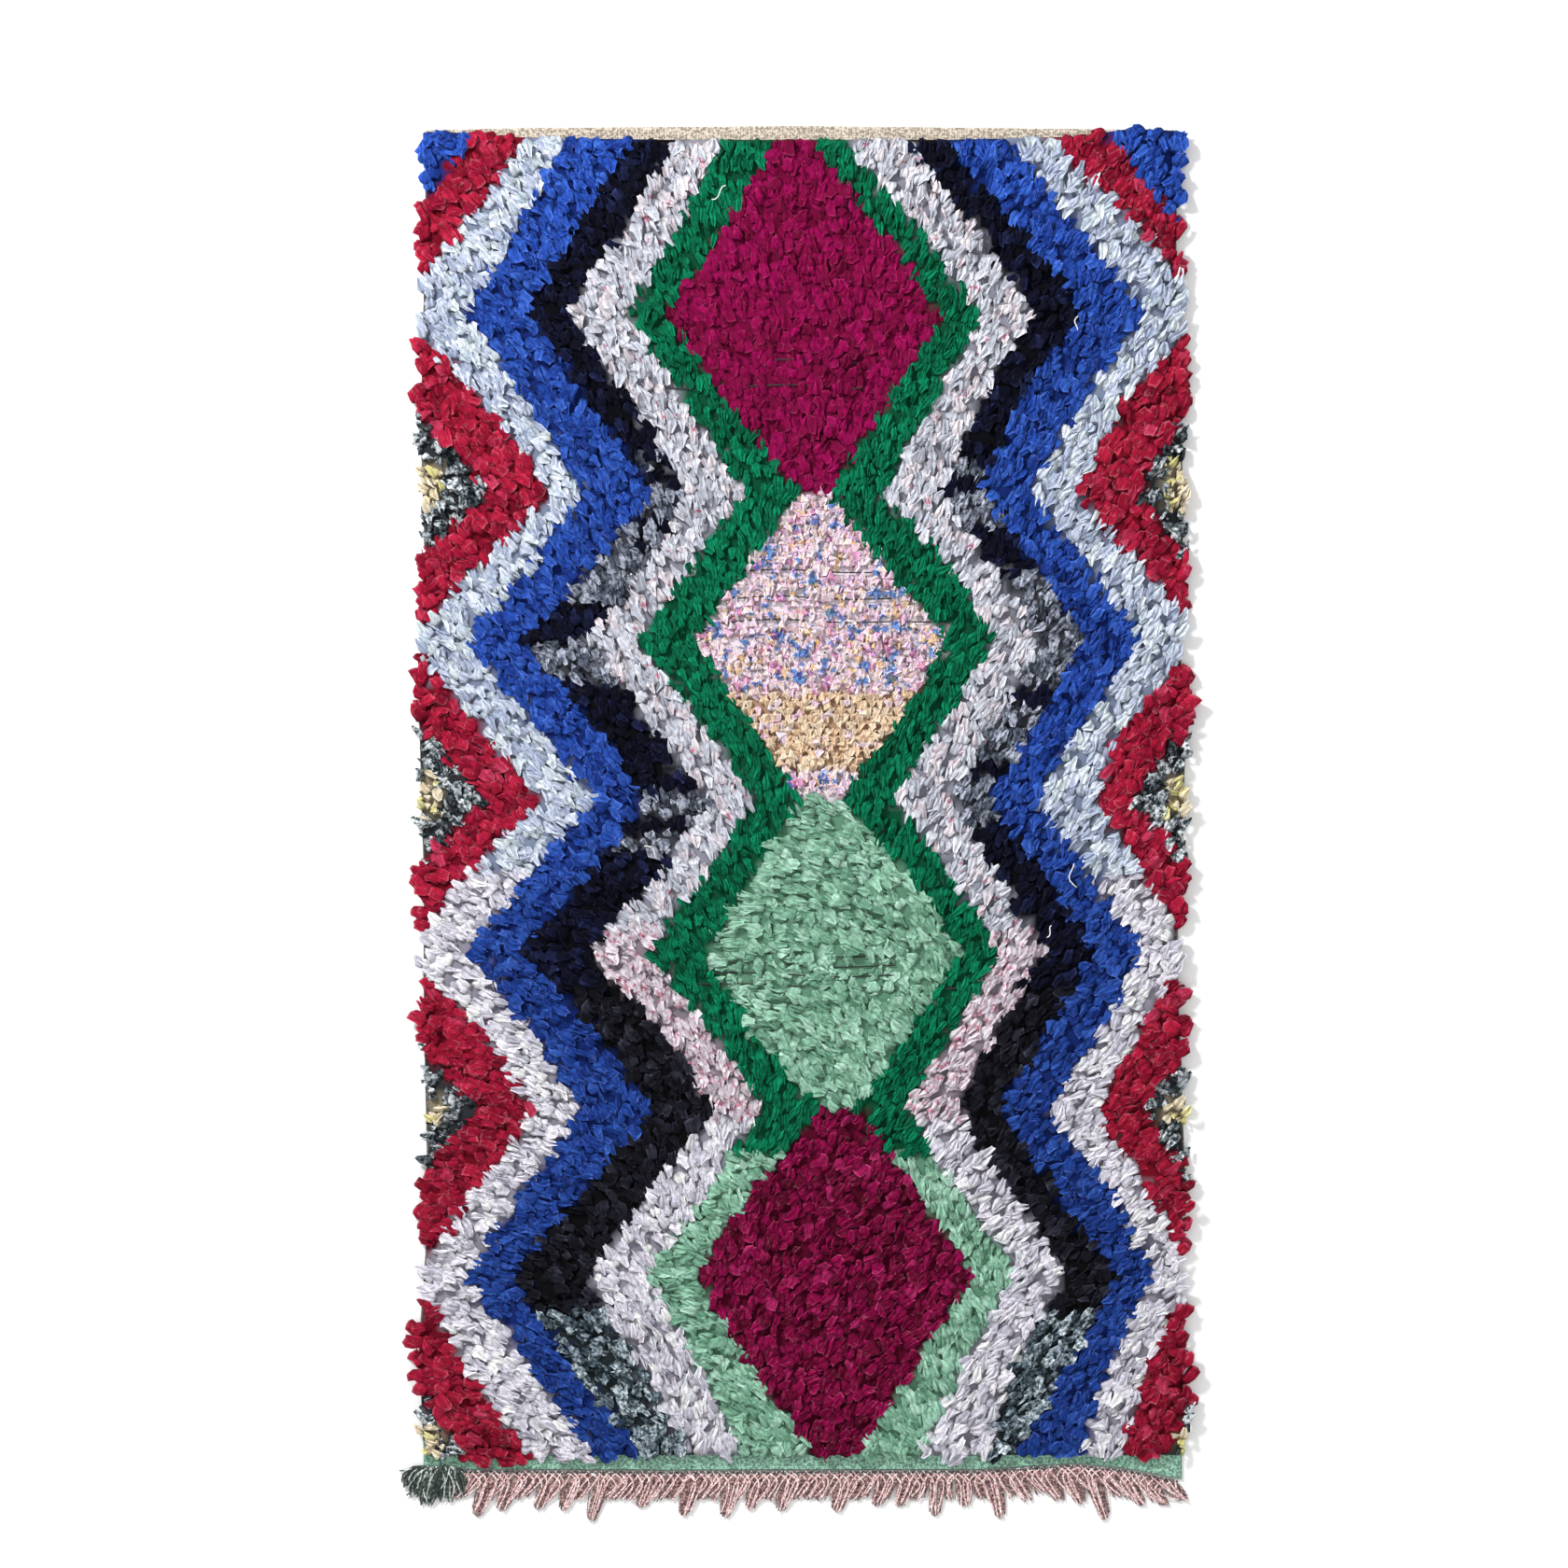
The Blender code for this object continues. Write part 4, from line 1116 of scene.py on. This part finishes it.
twine_routes = []
for phase in (0, math.pi):
    route = []
    steps = int((FRINGE_RIGHT - FRINGE_LEFT) / TWINE_PITCH * TWINE_STEPS)
    for step in range(steps + 1):
        x = FRINGE_LEFT + (FRINGE_RIGHT - FRINGE_LEFT) * step / steps
        turn = 2 * math.pi * (x - FRINGE_LEFT) / TWINE_PITCH + phase
        y = cloth_end(x) - TWINE_BELOW + TWINE_TURN_RADIUS * math.cos(turn)
        route.append((x, y, TWINE_Z + TWINE_TURN_RADIUS * math.sin(turn)))
    twine_routes.append(route)
dark_twine = yarn_finish("dark_twining_yarn", [(14, 18, 18), (52, 60, 58), (120, 128, 122)])
add_yarns("twined_line", twine_routes, TWINE_YARN, dark_twine, "end_twining", sides=1)

# The fringe is the looped warp ends: pale pink yarns plied in pairs, which cross each other like a net
# near the cloth and are gathered below into points, over a matted taupe wool.
FRINGE_POINTS = [
    Place(-0.461, -0.984), Place(-0.427, -0.977), Place(-0.374, -0.974), Place(-0.339, -0.975),
    Place(-0.299, -0.991), Place(-0.228, -0.971), Place(-0.168, -0.983), Place(-0.109, -0.986),
    Place(-0.074, -0.974), Place(-0.030, -0.976), Place(0.049, -0.978), Place(0.106, -0.969),
    Place(0.138, -0.970), Place(0.188, -0.983), Place(0.230, -0.969), Place(0.280, -0.987),
    Place(0.318, -0.962), Place(0.364, -0.962), Place(0.394, -0.966), Place(0.428, -0.988),
    Place(0.480, -0.968), Place(0.512, -0.968), Place(0.540, -0.960),
]
FRINGE_END = 0.546
NET_DEPTH = 0.018
NET_PITCH = 0.0110
NET_SLANT = 0.016
NET_SLANT_PLAY = (0.6, 1.2)
NET_DEPTH_PLAY = (0.8, 1.1)
NET_END_PLAY = 0.007
NET_INSET = 0.002
NET_ROOT_Z = 0.0046
NET_CROSSING_Z = {-1: 0.0050, 1: 0.0062}
NET_STEPS = 8
POINT_Z = 0.0030
MAT_DEPTH = 0.043
POINT_WIDTH = 0.0135
BUNCHING = 0.6
RIPPLE = 0.006
RIPPLES_PER_METRE = 60
Sweep = namedtuple("Sweep", "x aside")
SWEEPS = [Sweep(-0.49, -0.018), Sweep(0.15, -0.012), Sweep(0.30, 0.018), Sweep(0.54, 0.024)]
PLY_RADIUS = 0.0009
PLY_PITCH = 0.0075
LOWEST_YARN_Z = 0.0022

fringe_draw = random.Random(7)


def nearest_point(x):
    """The point of the fringe that is nearest to this place."""
    return min(FRINGE_POINTS, key=lambda point: abs(point.x - x))


def fringe_end(x):
    """Where the fringe ends below this place: level between the points, and down to a tip at each."""
    point = nearest_point(x)
    level = cloth_end(x) - MAT_DEPTH
    share = max(0, 1 - (abs(point.x - x) / POINT_WIDTH) ** 2)
    ripple = RIPPLE * noise.noise(Vector((x * RIPPLES_PER_METRE, 3, 1)))
    return level + ripple + (point.y - level - ripple) * share**0.7


def gathered(x):
    """Where a strand that is heading for this place ends: the strands bunch up at the points."""
    point = nearest_point(x)
    return point.x + (x - point.x) * (BUNCHING if abs(point.x - x) < POINT_WIDTH else 1)


def smooth_line(stops, steps):
    """An even line through a few stops, rounded at each, never below the floor."""
    line = []
    for index, (first, last) in enumerate(zip(stops, stops[1:])):
        before = stops[max(index - 1, 0)]
        after = stops[min(index + 2, len(stops) - 1)]
        for step in range(steps + (index == len(stops) - 2)):
            share = step / steps
            turn = (last - before) * 0.5
            out = (after - first) * 0.5
            place = (
                first * (2 * share**3 - 3 * share**2 + 1)
                + turn * (share**3 - 2 * share**2 + share)
                + last * (3 * share**2 - 2 * share**3)
                + out * (share**3 - share**2)
            )
            place.z = max(place.z, LOWEST_YARN_Z)
            line.append(place)
    return line


def plied(line, phase):
    """The two yarns that turn round a strand's middle line."""
    routes = ([], [])
    travelled = 0
    for index, place in enumerate(line):
        ahead = line[min(index + 1, len(line) - 1)] - line[max(index - 1, 0)]
        side = Vector((-ahead.y, ahead.x, 0)).normalized()
        if index:
            travelled += (place - line[index - 1]).length
        turn = 2 * math.pi * travelled / PLY_PITCH + phase
        for route, half in zip(routes, (0, math.pi)):
            offset = side * math.cos(turn + half) + Vector((0, 0, 1)) * math.sin(turn + half)
            route.append(place + offset * PLY_RADIUS)
    return routes


pink_routes = []
root_count = int((FRINGE_RIGHT - FRINGE_LEFT) / NET_PITCH)
for index in range(root_count):
    root_x = FRINGE_LEFT + (index + 0.5) * (FRINGE_RIGHT - FRINGE_LEFT) / root_count
    for slant in (-1, 1):
        start_x = root_x + fringe_draw.uniform(-NET_INSET, NET_INSET)
        start_y = cloth_end(start_x) - NET_INSET
        sweep = along(SWEEPS, start_x, "x", "aside")
        cross_x = start_x + slant * NET_SLANT * fringe_draw.uniform(*NET_SLANT_PLAY)
        cross_x = min(max(cross_x, FRINGE_LEFT), FRINGE_RIGHT)
        end_x = min(gathered(cross_x + sweep), FRINGE_END)
        end_y = fringe_end(end_x) + fringe_draw.uniform(0, NET_END_PLAY)
        cross_y = start_y - NET_DEPTH * fringe_draw.uniform(*NET_DEPTH_PLAY)
        stops = [
            Vector((start_x, start_y, NET_ROOT_Z)),
            Vector((cross_x, cross_y, NET_CROSSING_Z[slant])),
            Vector((end_x, end_y, POINT_Z)),
        ]
        pink_routes += plied(smooth_line(stops, NET_STEPS), fringe_draw.uniform(0, 6))
pink_yarn = yarn_finish("pale_pink_yarn", [(164, 100, 110), (232, 198, 198), (255, 244, 240)])
add_yarns("fringe_yarns", pink_routes, PLY_RADIUS, pink_yarn, "warp_fringe", sides=1, taper=0.8)

WOOL_STRANDS = 1700
WOOL_RADIUS = 0.0011
WOOL_LEAST_DROP = 0.006
WOOL_ROOT = (0.001, 0.014)
WOOL_SWEEP_PLAY = (0.7, 1.3)
WOOL_END_PLAY = 0.006
WOOL_SWAY = 0.003
WOOL_Z = (0.0028, 0.0046)
WOOL_TIP_Z = 0.0024
WOOL_STEPS = 2
taupe_routes = []
for index in range(WOOL_STRANDS):
    root_x = FRINGE_LEFT + (FRINGE_RIGHT - FRINGE_LEFT) * fringe_draw.random()
    root_y = cloth_end(root_x) - fringe_draw.uniform(*WOOL_ROOT)
    sweep = along(SWEEPS, root_x, "x", "aside") * fringe_draw.uniform(*WOOL_SWEEP_PLAY)
    end_x = min(gathered(root_x + sweep), FRINGE_END)
    end_y = fringe_end(end_x) + abs(fringe_draw.gauss(0, WOOL_END_PLAY))
    if end_y > root_y - WOOL_LEAST_DROP:
        continue
    high = fringe_draw.uniform(*WOOL_Z)
    middle_x = (root_x + end_x) / 2 + fringe_draw.uniform(-WOOL_SWAY, WOOL_SWAY)
    stops = [
        Vector((root_x, root_y, high)),
        Vector((middle_x, (root_y + end_y) / 2, high)),
        Vector((end_x, end_y, WOOL_TIP_Z)),
    ]
    taupe_routes.append(smooth_line(stops, WOOL_STEPS))
taupe_wool = yarn_finish("taupe_wool", [(54, 32, 36), (124, 88, 88), (198, 170, 160)], 300)
add_yarns("fringe_wool", taupe_routes, WOOL_RADIUS, taupe_wool, "warp_fringe", taper=0.5)

# At the bottom left corner the ends of the dark and white wefts are left uncut, and hang out of the
# cloth in a tuft of several lobes.
Lobe = namedtuple("Lobe", "x y yarns")
TUFT_LOBES = [
    Lobe(-0.561, -0.943, 50), Lobe(-0.550, -0.955, 50), Lobe(-0.536, -0.967, 60),
    Lobe(-0.519, -0.958, 50), Lobe(-0.503, -0.963, 50), Lobe(-0.488, -0.955, 30),
]
TUFT_LEFT = -0.544
TUFT_RIGHT = -0.490
TUFT_INSET = 0.004
TUFT_Z = (0.003, 0.010)
TUFT_SWAY_X = 0.012
TUFT_SWAY_Y = 0.004
TUFT_LIFT = 0.002
LOBE_WIDTH = 0.0055
LOBE_DEPTH = 0.013
MIDDLE_SAG = 0.7
TUFT_TIP_Z = 0.003
TUFT_STEPS = 4
PALE_SHARE = 0.28
DARK_END_RADIUS = 0.0016
PALE_END_RADIUS = 0.0013
tuft_groups = {"dark": [], "pale": []}
for order, lobe in enumerate(TUFT_LOBES):
    for index in range(lobe.yarns):
        root_x = TUFT_LEFT + (TUFT_RIGHT - TUFT_LEFT) * (order + fringe_draw.random()) / len(TUFT_LOBES)
        tip = (lobe.x + fringe_draw.gauss(0, LOBE_WIDTH), lobe.y + abs(fringe_draw.gauss(0, LOBE_DEPTH)))
        height = fringe_draw.uniform(*TUFT_Z)
        root = Vector((root_x, cloth_end(root_x) + TUFT_INSET, height))
        sway_x = fringe_draw.uniform(-TUFT_SWAY_X, TUFT_SWAY_X)
        sway_y = fringe_draw.uniform(-TUFT_SWAY_Y, TUFT_SWAY_Y)
        middle = (root + Vector((*tip, height * MIDDLE_SAG))) / 2 + Vector((sway_x, sway_y, TUFT_LIFT))
        stops = [root, middle, Vector((*tip, TUFT_TIP_Z))]
        line = smooth_line(stops, TUFT_STEPS)
        tuft_groups["pale" if fringe_draw.random() < PALE_SHARE else "dark"].append(line)
dark_ends = yarn_finish("dark_green_ends", [(8, 14, 12), (28, 42, 36), (70, 90, 80)], 260)
pale_ends = yarn_finish("pale_weft_ends", [(110, 120, 116), (170, 178, 174), (224, 228, 224)], 260)
for tone, radius, finish in (("dark", DARK_END_RADIUS, dark_ends), ("pale", PALE_END_RADIUS, pale_ends)):
    name = "corner_" + tone + "_ends"
    add_yarns(name, tuft_groups[tone], radius, finish, "corner_tuft", sides=1, taper=0.6)
